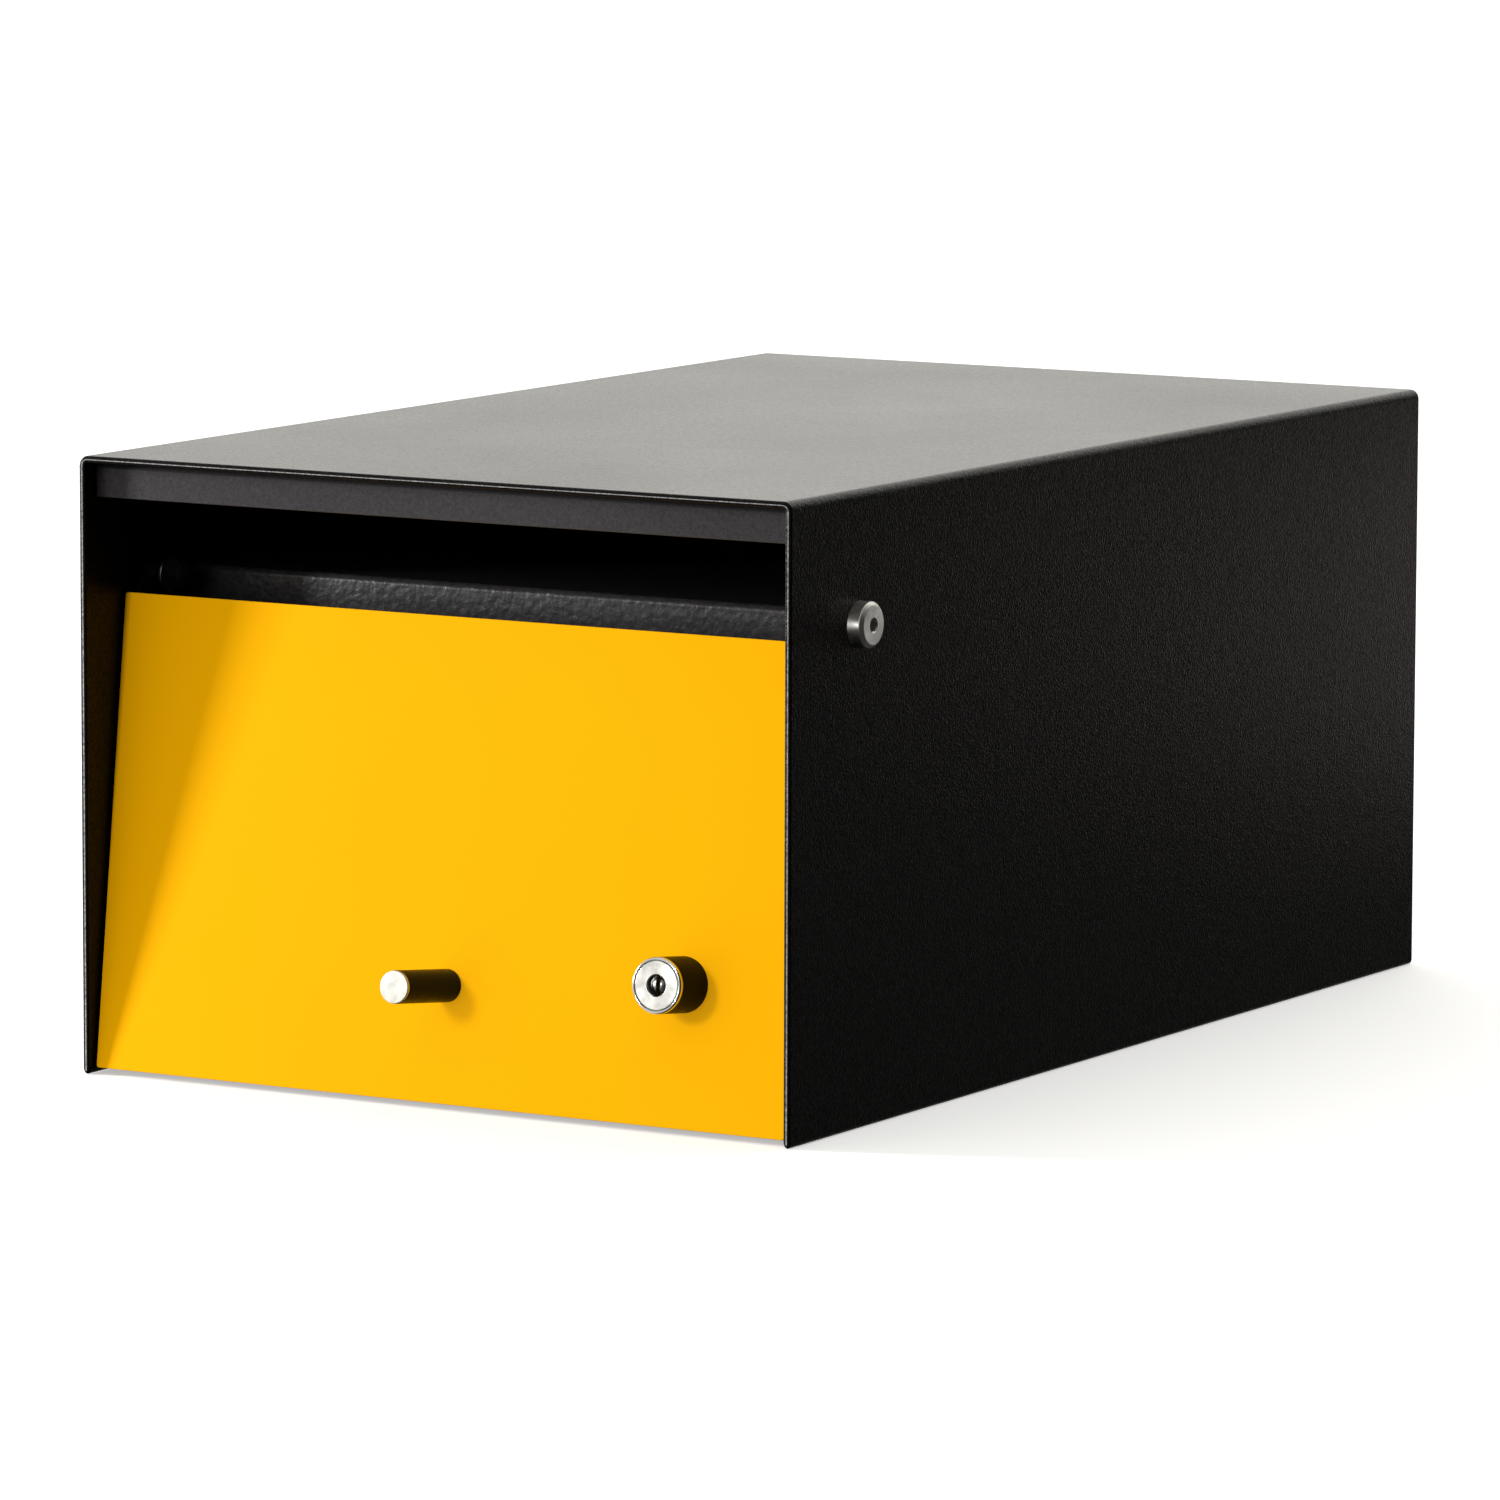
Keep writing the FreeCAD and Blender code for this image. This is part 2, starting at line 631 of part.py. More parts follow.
def make_lock():
    """Cam lock: collar, housing with its rim, nut, turning plug, wafers and cam."""
    barrel = "barrel_round / 2"
    collar = turn("lock_collar", ring("lock_round", "(barrel_round + 2 * slip_play)", "-collar_long", "0"))
    bore = "plug_round / 2 + run_play"
    housing = turn("lock_housing", [
        (bore, "-lock_proud + rim_recess_deep"), ("rim_recess / 2", "-lock_proud + rim_recess_deep"),
        ("rim_recess / 2", "-lock_proud"), ("lock_round / 2 - rim_bevel", "-lock_proud"),
        ("lock_round / 2", "-lock_proud + rim_bevel"), ("lock_round / 2", "-collar_long"),
        (barrel, "-collar_long"), (barrel, "barrel_end"), (bore, "barrel_end")])
    tooth = turn("lock_tooth_washer", ring("tooth_washer", "(barrel_round + 2 * slip_play)",
                                           "pan_back", "nut_front"))
    nut = new_body("lock_nut")
    sketch = new_sketch(nut, "XZ_Plane", "-nut_front")
    draw_polygon(sketch, hexagon("lock_nut_flats"))
    draw_circle(sketch, "0", "0", "barrel_round + 2 * slip_play")
    extrude(nut, sketch, "Pad", "lock_nut_tall", flip=True)
    plug = turn("lock_plug", [
        ("0", "disc_front"), ("plug_disc / 2", "disc_front"), ("plug_disc / 2", "disc_back"),
        ("plug_round / 2", "disc_back"), ("plug_round / 2", "cam_front"), ("0", "cam_front")])
    half = "plug_square / 2"
    pad_outline(plug, "XZ_Plane", rectangle(f"-{half}", f"-{half}", half, half),
                "plug_square_long", flip=True, lift="-cam_front")
    cut_rounds(plug, "XZ_Plane", [("0", "0", "key_round")], "key_round_deep", both_ways=False,
               lift="-disc_front")
    slot = rectangle("-key_wide / 2", "-key_tall / 2", "key_wide / 2", "key_tall / 2")
    cut_outline(plug, "XZ_Plane", slot, "key_deep", lift="-disc_front")
    cut_rounds(plug, "XZ_Plane", [("0", "0", "cam_screw + 2 * slip_play")], "cam_screw_bite + 1",
               both_ways=False, flip=True, lift="-square_end")
    wafers = []
    chamber = rectangle("-wafer_wide / 2 - slip_play", "-plug_round", "wafer_wide / 2 + slip_play", "plug_round")
    window = rectangle("-key_wide / 2", "-key_tall / 2", "key_wide / 2", "key_tall / 2")
    plate = rectangle("-wafer_wide / 2", "-wafer_tall / 2", "wafer_wide / 2", "wafer_tall / 2")
    for step in range(5):
        start = f"(disc_front + key_round_deep + 1.5 + {step} * wafer_pitch)"
        cut_outline(plug, "XZ_Plane", chamber, "wafer_thick + 2 * slip_play",
                    lift=f"-({start} - slip_play)")
        wafer = new_body(f"wafer_{step}")
        pad_outline(wafer, "XZ_Plane", plate, "wafer_thick", flip=True, lift=f"-{start}")
        cut_outline(wafer, "XZ_Plane", window, "4 * wafer_thick", both_ways=True, lift=f"-{start}")
        place_on_door(wafer, "lock_x", "lock_rise")
        wafers.append(wafer)
    group("lock_wafers", wafers)
    cam = new_body("lock_cam")
    arm = rectangle("-(cam_reach - cam_wide / 2)", "-cam_wide / 2", "0", "cam_wide / 2")
    pad_outline(cam, "XZ_Plane", arm, "cam_thick", flip=True, lift="-cam_front")
    for across in ("0", "-(cam_reach - cam_wide / 2)"):
        sketch = new_sketch(cam, "XZ_Plane", "-cam_front")
        draw_circle(sketch, across, "0", "cam_wide")
        extrude(cam, sketch, "Pad", "cam_thick", flip=True)
    hole = f"({half} + slip_play)"
    cut_outline(cam, "XZ_Plane", rectangle(f"-{hole}", f"-{hole}", hole, hole), "4 * cam_thick",
                both_ways=True, lift="-cam_front")
    washer = turn("cam_washer", ring("cam_washer", "(cam_screw + 2 * slip_play)",
                                     "cam_back", "cam_back + cam_washer_thick"))
    seat = "(cam_back + cam_washer_thick)"
    screw = turn("cam_screw", [
        ("0", "square_end - cam_screw_bite"), ("cam_screw / 2", "square_end - cam_screw_bite"),
        ("cam_screw / 2", seat), ("cam_screw_flats / 2 * 0.98", seat),
        ("cam_screw_flats / 2 * 0.98", f"{seat} + cam_screw_tall"), ("0", f"{seat} + cam_screw_tall")])
    pad_outline(screw, "XZ_Plane", hexagon("cam_screw_flats"), "cam_screw_tall - 0.4",
                flip=True, lift=f"-{seat}")
    for piece in (collar, housing, tooth, nut, plug, cam, washer, screw):
        place_on_door(piece, "lock_x", "lock_rise")


make_hood_shell()
make_rain_lip()
make_mail_shelf()
make_base_pan()
make_back_panel()
make_door_pan()
make_door_face()
make_face_tape()
make_hinges()
make_buffers()
make_knob()
make_lock()
doc.recompute()

failed = [thing.Name for thing in doc.Objects if {"Invalid", "Error"} & set(thing.State)]
if failed:
    raise ValueError(f"objects that failed: {failed}")
for name, thing in parts.items():
    if thing.Shape.isNull() or not thing.Shape.isValid():
        raise ValueError(f"{name} has no valid shape")

os.makedirs("parts", exist_ok=True)
for name, thing in parts.items():
    thing.Shape.exportStep(f"parts/{name}.step")
    box = thing.Shape.BoundBox
    print(f"{name:20} solids {len(thing.Shape.Solids)}  volume {thing.Shape.Volume:10.1f}  "
          f"x {box.XMin:8.2f} {box.XMax:8.2f}  y {box.YMin:8.2f} {box.YMax:8.2f}  "
          f"z {box.ZMin:8.2f} {box.ZMax:8.2f}")
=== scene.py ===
"""The letterbox's looks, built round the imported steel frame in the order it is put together."""
import json
import math

import bmesh
import bpy
from mathutils import Matrix, Vector


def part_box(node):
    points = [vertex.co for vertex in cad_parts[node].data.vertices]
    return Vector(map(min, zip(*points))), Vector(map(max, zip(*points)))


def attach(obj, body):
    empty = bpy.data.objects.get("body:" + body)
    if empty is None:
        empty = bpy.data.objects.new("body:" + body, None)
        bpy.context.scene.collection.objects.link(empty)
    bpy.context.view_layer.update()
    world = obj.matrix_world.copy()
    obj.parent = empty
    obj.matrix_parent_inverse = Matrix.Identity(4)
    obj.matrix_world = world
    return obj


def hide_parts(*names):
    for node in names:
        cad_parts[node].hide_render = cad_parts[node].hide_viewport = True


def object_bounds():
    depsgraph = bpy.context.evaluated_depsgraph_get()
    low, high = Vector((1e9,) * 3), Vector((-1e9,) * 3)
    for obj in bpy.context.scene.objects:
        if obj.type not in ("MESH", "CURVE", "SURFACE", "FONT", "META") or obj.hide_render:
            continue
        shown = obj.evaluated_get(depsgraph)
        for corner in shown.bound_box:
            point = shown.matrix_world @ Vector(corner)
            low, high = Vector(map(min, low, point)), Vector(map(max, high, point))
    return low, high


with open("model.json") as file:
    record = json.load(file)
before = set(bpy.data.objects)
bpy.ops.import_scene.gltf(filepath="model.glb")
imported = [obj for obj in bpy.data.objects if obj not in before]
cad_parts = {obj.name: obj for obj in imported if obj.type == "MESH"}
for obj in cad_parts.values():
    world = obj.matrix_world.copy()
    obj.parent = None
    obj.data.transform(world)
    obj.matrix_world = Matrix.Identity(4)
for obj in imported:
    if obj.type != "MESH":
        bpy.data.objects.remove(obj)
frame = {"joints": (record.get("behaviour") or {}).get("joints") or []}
cad_low, cad_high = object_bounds()

# ----------------------------------------
# Camera. A long lens stands off the right front corner, a little above the roof line, so
# that the door, the right side and a thin slice of the roof show.
MM = 0.001
hood_low, hood_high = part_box("hood_shell")
azimuth = math.radians(30.633)
elevation = math.radians(7.70)
camera_roll = math.radians(0.15)
camera_distance = 3083 * MM
camera_slide = -8.1 * MM
camera_lift = -10.1 * MM
back_way = Vector((math.sin(azimuth) * math.cos(elevation),
                   -math.cos(azimuth) * math.cos(elevation), math.sin(elevation)))
right_way = Vector((math.cos(azimuth), math.sin(azimuth), 0))
up_way = back_way.cross(right_way)
camera_data = bpy.data.cameras.new("camera")
camera_data.sensor_width = 36
camera_data.lens = 218.9
camera_data.clip_end = 50
camera = bpy.data.objects.new("camera", camera_data)
bpy.context.scene.collection.objects.link(camera)
camera_spot = ((hood_low + hood_high) / 2 + back_way * camera_distance
               + right_way * camera_slide + up_way * camera_lift)
camera_axes = Matrix((right_way, up_way, back_way)).transposed().to_4x4()
camera.matrix_world = (Matrix.Translation(camera_spot) @ camera_axes
                       @ Matrix.Rotation(camera_roll, 4, "Z"))
bpy.context.scene.camera = camera

# ----------------------------------------
# Studio. A pale floor in a pale room that is dark low on the right. The key light stands
# well round to the left, the shelf has a key of its own, and weak lights serve the door,
# the right bolt and the back of the right side.
def join_nodes(tree, kind, sockets=None, **settings):
    """Adds a node. Each socket is given a plain value, or another node's output to join."""
    made = tree.nodes.new(kind)
    for name, value in settings.items():
        setattr(made, name, value)
    for name, value in (sockets or {}).items():
        if isinstance(value, bpy.types.NodeSocket):
            tree.links.new(value, made.inputs[name])
        else:
            made.inputs[name].default_value = value
    return made


def reckon(operation, *values):
    """A sum on a node's output and on plain numbers or more outputs."""
    return join_nodes(values[0].id_data, "ShaderNodeMath", dict(enumerate(values)),
                      operation=operation).outputs[0]


def spread(value, low, high, start=0.3, stop=0.7, **settings):
    """Maps a value, such as a noise, onto a range."""
    return join_nodes(value.id_data, "ShaderNodeMapRange",
                      {"Value": value, "From Min": start, "From Max": stop, "To Min": low,
                       "To Max": high}, **settings).outputs[0]


def between(share, low, high):
    """A number between two, by a share from 0 to 1."""
    return join_nodes(share.id_data, "ShaderNodeMix", {0: share, 2: low, 3: high},
                      data_type="FLOAT").outputs[0]


def tint(share, dark, light):
    """A colour between two, by a share from 0 to 1. Each is a triple or a node's output."""
    dark, light = ((*colour, 1) if isinstance(colour, tuple) else colour for colour in (dark, light))
    return join_nodes(share.id_data, "ShaderNodeMix", {0: share, 6: dark, 7: light},
                      data_type="RGBA").outputs[2]


def feed(shader, socket, value):
    """Joins a node's output to one of a shader's own sockets."""
    shader.id_data.links.new(value, shader.inputs[socket])


room = bpy.data.worlds.new("pale_room")
room.use_nodes = True
room_tree = room.node_tree
way = join_nodes(room_tree, "ShaderNodeTexCoord").outputs["Generated"]
way_parts = join_nodes(room_tree, "ShaderNodeSeparateXYZ", {"Vector": way}).outputs
seen_directly = join_nodes(room_tree, "ShaderNodeLightPath").outputs["Is Camera Ray"]


def level(value, low, high, start, stop):
    """A level of the room's light that eases from one end of a stretch to the other."""
    return spread(value, low, high, start, stop, interpolation_type="SMOOTHSTEP")


height_pull = -0.6
lowered = reckon("MULTIPLY", way_parts["Z"], height_pull)
rightness = reckon("ADD", way_parts["X"], lowered)
dark_share = level(rightness, low=0, high=1, start=-0.15, stop=0.3)
dark_level = level(way_parts["Y"], low=0.04, high=0.08, start=-0.2, stop=0.8)
pale_level = level(way_parts["Y"], low=0.7, high=1.93, start=0.1, stop=0.7)
room_light = between(dark_share, pale_level, dark_level)
background = room_tree.nodes["Background"]
warm_white = (1, 0.985, 0.93)
plain_white = (1, 1, 1)
feed(background, "Color", tint(seen_directly, warm_white, plain_white))
feed(background, "Strength", between(seen_directly, room_light, 1.0))
bpy.context.scene.world = room
bpy.context.scene.view_settings.view_transform = "Standard"


def add_softbox(name, size, watts, aim, offset):
    """An oblong lamp that faces a spot from this far off it."""
    data = bpy.data.lights.new(name, "AREA")
    data.shape = "RECTANGLE"
    data.size, data.size_y = size
    data.energy = watts
    softbox = bpy.data.objects.new(name, data)
    bpy.context.scene.collection.objects.link(softbox)
    softbox.location = aim + Vector(offset)
    softbox.rotation_euler = (-Vector(offset)).to_track_quat("-Z", "Y").to_euler()
    softbox.visible_camera = False
    return softbox


door_middle = Vector((0, hood_low.y, hood_high.z / 2))
right_bolt_spot = Vector((0.134, -0.19, 0.15))
right_back_spot = Vector((0.134, 0.4, 0.09))
left_key = add_softbox("left_key", (0.26, 0.6), 41, door_middle, (-1.6, -0.57, 0.25))
shelf_key = add_softbox("shelf_key", (0.2, 0.6), 12, door_middle, (-1.3, -1.1, 0.25))
front_fill = add_softbox("front_fill", (0.25, 0.25), 12.5, door_middle, (-0.35, -1.9, 0.55))
bolt_fill = add_softbox("bolt_fill", (0.3, 0.3), 6, door_middle, (-0.55, -1.8, 0.2))
bolt_glow = add_softbox("bolt_glow", (0.5, 0.5), 0.5, right_bolt_spot, (0.486, 0.81, 0))
far_glow = add_softbox("far_glow", (0.1, 0.16), 0.06, right_back_spot, (0.086, 0.16, 0))
far_glow.data.color = (1.0, 0.88, 0.84)

floor_drop = 0.1 * MM
bpy.ops.object.select_all(action="DESELECT")
bpy.ops.mesh.primitive_plane_add(size=40, location=(0, 0, cad_low.z - floor_drop))
floor = bpy.context.object
floor.name = "floor"
floor.visible_glossy = False
floor.visible_diffuse = False
floor_paint = bpy.data.materials.new("pale_floor")
floor_paint.use_nodes = True
floor_tree = floor_paint.node_tree
floor_shader = floor_tree.nodes["Principled BSDF"]
floor_spot = join_nodes(floor_tree, "ShaderNodeTexCoord").outputs["Object"]
floor_mottle = join_nodes(floor_tree, "ShaderNodeTexNoise",
                          {"Vector": floor_spot, "Scale": 3, "Detail": 3})
floor_tone = spread(floor_mottle.outputs[0], low=0.92, high=0.94, start=0, stop=1)
feed(floor_shader, "Base Color", floor_tone)
floor_shader.inputs["Roughness"].default_value = 0.9
floor_shader.inputs["Specular IOR Level"].default_value = 0.1
floor_shader.inputs["Emission Color"].default_value = (1, 1, 1, 1)
floor_shader.inputs["Emission Strength"].default_value = 0.45
floor.data.materials.append(floor_paint)

# ----------------------------------------
# Hood. One sheet of 2.4 mm steel folded twice into the roof and both sides, with a
# punched hole for each door pivot. It is blasted and powder coated in textured black.
def same(one, other):
    return abs(one - other) < 0.01 * MM


def take(piece):
    """Leaves edit mode and selects this piece alone."""
    if bpy.context.mode != "OBJECT":
        bpy.ops.object.mode_set(mode="OBJECT")
    bpy.ops.object.select_all(action="DESELECT")
    piece.select_set(True)
    bpy.context.view_layer.objects.active = piece


def begin(name, add_primitive, scale=(1, 1, 1), **settings):
    """Adds a primitive at its place and size and opens it in edit mode."""
    if bpy.context.mode != "OBJECT":
        bpy.ops.object.mode_set(mode="OBJECT")
    bpy.ops.object.select_all(action="DESELECT")
    add_primitive(**settings)
    piece = bpy.context.object
    piece.scale = scale
    piece.name = name
    piece.data.name = name
    bpy.ops.object.transform_apply(location=True, rotation=True, scale=True)
    bpy.ops.object.mode_set(mode="EDIT")
    return piece


def pick(piece, kind, test):
    """Selects the corners, edges or faces that pass a test on their place and normal."""
    bpy.ops.mesh.select_mode(type=kind)
    bpy.ops.mesh.select_all(action="DESELECT")
    shape = bmesh.from_edit_mesh(piece.data)
    if kind == "FACE":
        found = [face for face in shape.faces if test(face.calc_center_median(), face.normal)]
    elif kind == "EDGE":
        found = [edge for edge in shape.edges if test(edge.verts[0].co, edge.verts[1].co)]
    else:
        found = [corner for corner in shape.verts if test(corner.co)]
    for part in found:
        part.select_set(True)
    bmesh.update_edit_mesh(piece.data)


def lying(**places):
    """A test for the edges that lie at these places, such as z=0."""
    return lambda a, b: all(same(getattr(end, axis), place) for end in (a, b)
                            for axis, place in places.items())


def fold(piece, across, test):
    """Draws a flange out of the chosen edges of a sheet."""
    pick(piece, "EDGE", test)
    bpy.ops.mesh.extrude_region_move(TRANSFORM_OT_translate={"value": across})


def bend(piece, radius, test):
    """Rounds the chosen fold lines of a sheet to the radius of the press tool."""
    pick(piece, "EDGE", test)
    bpy.ops.mesh.bevel(offset=radius, segments=6, affect="EDGES")


def improve(piece, kind, **settings):
    """Adds a modifier and applies it."""
    take(piece)
    modifier = piece.modifiers.new(kind.lower(), kind)
    for name, value in settings.items():
        setattr(modifier, name, value)
    bpy.ops.object.modifier_apply(modifier=modifier.name)


def thicken(piece, thickness):
    """Gives a sheet its metal, on the inner side of the face that was drawn."""
    improve(piece, "SOLIDIFY", thickness=thickness, offset=-1, use_even_offset=True)


def carve(piece, tool, operation="DIFFERENCE"):
    """Cuts a piece with a tool shape and throws the tool away."""
    improve(piece, "BOOLEAN", object=tool, operation=operation, solver="EXACT")
    bpy.data.objects.remove(tool)


def drill(piece, spot, way, radius, length, corners=64):
    """Makes a straight hole through a piece, centred on a spot, along a way."""
    turn = Vector(way).to_track_quat("Z", "Y").to_euler()
    tool = begin("drill", bpy.ops.mesh.primitive_cylinder_add, vertices=corners, radius=radius,
                 depth=length, location=spot, rotation=turn)
    take(tool)
    carve(piece, tool)


def soften(piece, radius, segments=3):
    """Rounds every sharp rim, as blasting and a coat of powder do."""
    improve(piece, "BEVEL", width=radius, segments=segments, limit_method="ANGLE",
            angle_limit=math.radians(40), harden_normals=False)


def hand_over(piece, material, slot, body, *nodes, place=Matrix()):
    """Stands a finished piece in its place, shades and coats it, and swaps it for its CAD nodes."""
    take(piece)
    piece.matrix_world = place
    bpy.ops.object.transform_apply(location=True, rotation=True, scale=True)
    bpy.ops.object.shade_smooth_by_angle(angle=math.radians(35))
    improve(piece, "WEIGHTED_NORMAL", keep_sharp=True)
    piece.data.materials.clear()
    piece.data.materials.append(material)
    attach(piece, body)
    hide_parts(*nodes)


def new_finish(name, base, roughness, metallic=0.0):
    """A material with its plain constants set, and the object coordinates to build on."""
    finish = bpy.data.materials.new(name)
    finish.use_nodes = True
    shader = finish.node_tree.nodes["Principled BSDF"]
    shader.inputs["Base Color"].default_value = (*base, 1)
    shader.inputs["Roughness"].default_value = roughness
    shader.inputs["Metallic"].default_value = metallic
    spot = join_nodes(finish.node_tree, "ShaderNodeTexCoord").outputs["Object"]
    return finish, shader, spot


def noise(spot, grain, detail=2.0):
    """Mottling whose grains are about this size, from 0 to 1."""
    return join_nodes(spot.id_data, "ShaderNodeTexNoise",
                      {"Vector": spot, "Scale": 0.5 / grain, "Detail": detail}).outputs[0]


def emboss(shader, height, depth, strength=1.0):
    """Presses a height pattern this deep into a finish."""
    bump = join_nodes(shader.id_data, "ShaderNodeBump",
                      {"Height": height, "Strength": strength, "Distance": depth})
    feed(shader, "Normal", bump.outputs[0])


def edge_mask(spot, radius):
    """1 along sharp edges and 0 on flat faces."""
    tree = spot.id_data
    rounded = join_nodes(tree, "ShaderNodeBevel", {"Radius": radius}, samples=4).outputs[0]
    true_normal = join_nodes(tree, "ShaderNodeNewGeometry").outputs["Normal"]
    agree = join_nodes(tree, "ShaderNodeVectorMath", {0: rounded, 1: true_normal},
                       operation="DOT_PRODUCT").outputs["Value"]
    return spread(agree, low=1.0, high=0.0, start=0.75, stop=0.98)


def textured_black(name, grain, relief, tone, ior, fleck):
    """Black powder coat: sandy grain on a slow orange peel; the edges are lighter as thin coat and
    painted sheen.

    Fleck is how much lighter or darker than the tone its smallest specks are.
    """
    finish, shader, spot = new_finish(name, (tone, tone, tone), roughness=0.3)
    sand = noise(spot, grain)
    peel = noise(spot, 5 * grain, detail=3.0)
    grit = noise(spot, 1.4 * grain)
    specks = spread(noise(spot, 0.7 * grain, detail=1.0), 1 / fleck, fleck)
    cloud = noise(spot, 60 * MM)
    mottle = spread(cloud, low=0.85, high=1.15, start=0.15, stop=0.85)
    faintly_red = (tone, 0.92 * tone, 0.98 * tone)
    coat = join_nodes(finish.node_tree, "ShaderNodeVectorMath",
                      {0: faintly_red, 1: reckon("MULTIPLY", specks, mottle)},
                      operation="MULTIPLY").outputs[0]
    # The edges are lightened for the thinner coat there and as a painted sheen that stands in for
    # edge highlights.
    worn_sheen_tone = 2.5 * tone
    worn_and_sheen = tint(edge_mask(spot, 0.6 * MM), coat, (worn_sheen_tone, worn_sheen_tone, worn_sheen_tone))
    # A thin light line along the front faces, where the sheet's cut edges face forward, is a painted
    # highlight that stands in for their sheen.
    front = join_nodes(finish.node_tree, "ShaderNodeSeparateXYZ", {"Vector": spot}).outputs["Y"]
    highlight_band = spread(front, low=1.0, high=0.0, start=hood_low.y + 0.003 * MM,
                      stop=hood_low.y + 0.022 * MM)
    painted_edge_highlight = reckon("MULTIPLY", highlight_band, spread(sand, 0.3, 1.0))
    highlight_grey = (0.7, 0.68, 0.67)
    feed(shader, "Base Color", tint(painted_edge_highlight, worn_and_sheen, highlight_grey))
    feed(shader, "Roughness", spread(cloud, low=0.28, high=0.34, start=0.15, stop=0.85))
    feed(shader, "IOR", spread(grit, ior - 0.04, ior + 0.04))
    peel_share = 0.35
    emboss(shader, reckon("MULTIPLY_ADD", peel, peel_share, sand), relief)
    return finish


black_coat = textured_black("textured_black_coat", grain=0.4 * MM, relief=0.2 * MM, tone=0.0015,
                            ior=1.17, fleck=6.0)
wall = 2.4 * MM
hood_bend = 3.2 * MM
hood_rim = 1.15 * MM
rim_round = 0.4 * MM
pivot_spot = Vector(frame["joints"][0]["pos_m"])
pivot_hole = 4.1 * MM
hood_size = hood_high - hood_low
hood_middle = (hood_low + hood_high) / 2

hood = begin("folded_hood", bpy.ops.mesh.primitive_plane_add, size=1,
             location=(0, hood_middle.y, hood_high.z), scale=(hood_size.x, hood_size.y, 1))
fold(hood, (0, 0, -hood_size.z), lambda a, b: same(a.x, b.x))
bend(hood, hood_bend, lambda a, b: same(a.x, b.x) and same(a.z, hood_high.z) and same(b.z, a.z))
thicken(hood, wall)
drill(hood, pivot_spot, (1, 0, 0), pivot_hole, 1.2 * hood_size.x)
soften(hood, hood_rim, 4)
hand_over(hood, black_coat, "black_powder_coat", "box", "hood_shell")

# ----------------------------------------
# Rain lip. A folded steel angle welded under the front of the roof, set back a little, so
# that rain drips off before it reaches the slot.
# The lip wears the same black coat at a much lighter tone, painted light for the light its front
# face catches.
lit_lip_coat = textured_black("inner_black_coat", grain=0.5 * MM, relief=0.035 * MM, tone=0.046,
                            ior=1.3, fleck=1.2)
sheet = 1.6 * MM
press_bend = 2.2 * MM
lip_low, lip_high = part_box("rain_lip")
lip_size = lip_high - lip_low
lip = begin("lip_angle", bpy.ops.mesh.primitive_plane_add, size=1,
            location=(0, lip_low.y, (lip_low.z + lip_high.z) / 2), rotation=(math.pi / 2, 0, 0),
            scale=(lip_size.x, lip_size.z, 1))
fold(lip, (0, lip_size.y, 0), lying(z=lip_high.z))
bend(lip, press_bend, lying(y=lip_low.y, z=lip_high.z))
thicken(lip, sheet)
soften(lip, rim_round)
hand_over(lip, lit_lip_coat, "black_powder_coat", "box", "rain_lip")

# ----------------------------------------
# Mail shelf. A 1.6 mm tray turned upside down, folded on four sides and welded between
# the hood's sides. Its front fold is the textured apron that shows above the door.
def slit(piece, spot, normal):
    """Scores a straight line across a flat sheet, so that its edges can be folded apart."""
    bpy.ops.mesh.select_mode(type="FACE")
    bpy.ops.mesh.select_all(action="SELECT")
    bpy.ops.mesh.bisect(plane_co=spot, plane_no=normal)


def notch(piece, test):
    """Cuts away small corners of a sheet at the ends of its fold lines."""
    pick(piece, "FACE", test)
    bpy.ops.mesh.delete(type="FACE")


def nick(tray, half_wide, front, back):
    """Slits a tray and cuts its corners free where the folded stretch of each flank ends."""
    for line in (front, front - relief / 2, back, back + relief / 2):
        slit(tray, (0, line, 0), (0, 1, 0))
    for side in (-1, 1):
        slit(tray, (side * (half_wide - relief), 0, 0), (1, 0, 0))
    notch(tray, lambda middle, normal: abs(middle.x) > half_wide - relief
          and (front - relief / 2 < middle.y < front or back < middle.y < back + relief / 2))


def flank(half_wide, front, back):
    """A test for the edges along the folded stretch of a tray's flanks."""
    return lambda a, b: (same(abs(a.x), half_wide) and same(a.x, b.x) and same(a.z, b.z)
                         and front - MM < (a.y + b.y) / 2 < back + MM)


# The shelf wears the same black coat, coarser and at a much lighter tone, painted light for its lit
# apron.
lit_shelf_coat = textured_black("coarse_black_coat", grain=1.3 * MM, relief=0.24 * MM, tone=0.055,
                            ior=1.5, fleck=1.3)
relief = 2.4 * MM
shelf_low, shelf_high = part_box("mail_shelf")
shelf_size = shelf_high - shelf_low
shelf_middle = (shelf_low + shelf_high) / 2
shelf_tail = 9 * MM
shelf_cheek = 14 * MM
cheek_front = shelf_low.y + press_bend + relief
cheek_back = shelf_high.y - press_bend - relief
shelf = begin("shelf_sheet", bpy.ops.mesh.primitive_plane_add, size=1,
              location=(0, shelf_middle.y, shelf_high.z), scale=(shelf_size.x, shelf_size.y, 1))
nick(shelf, shelf_high.x, cheek_front, cheek_back)
shelf_flank = flank(shelf_high.x, cheek_front, cheek_back)
shelf_ends = [lying(y=shelf_low.y, z=shelf_high.z), lying(y=shelf_high.y, z=shelf_high.z)]
fold(shelf, (0, 0, -shelf_size.z), shelf_ends[0])
fold(shelf, (0, 0, -shelf_tail), shelf_ends[1])
fold(shelf, (0, 0, -shelf_cheek), shelf_flank)
bend(shelf, press_bend, lambda a, b: same(a.z, shelf_high.z)
     and any(test(a, b) for test in (*shelf_ends, shelf_flank)))
thicken(shelf, sheet)
soften(shelf, rim_round)
hand_over(shelf, lit_shelf_coat, "black_powder_coat", "box", "mail_shelf")

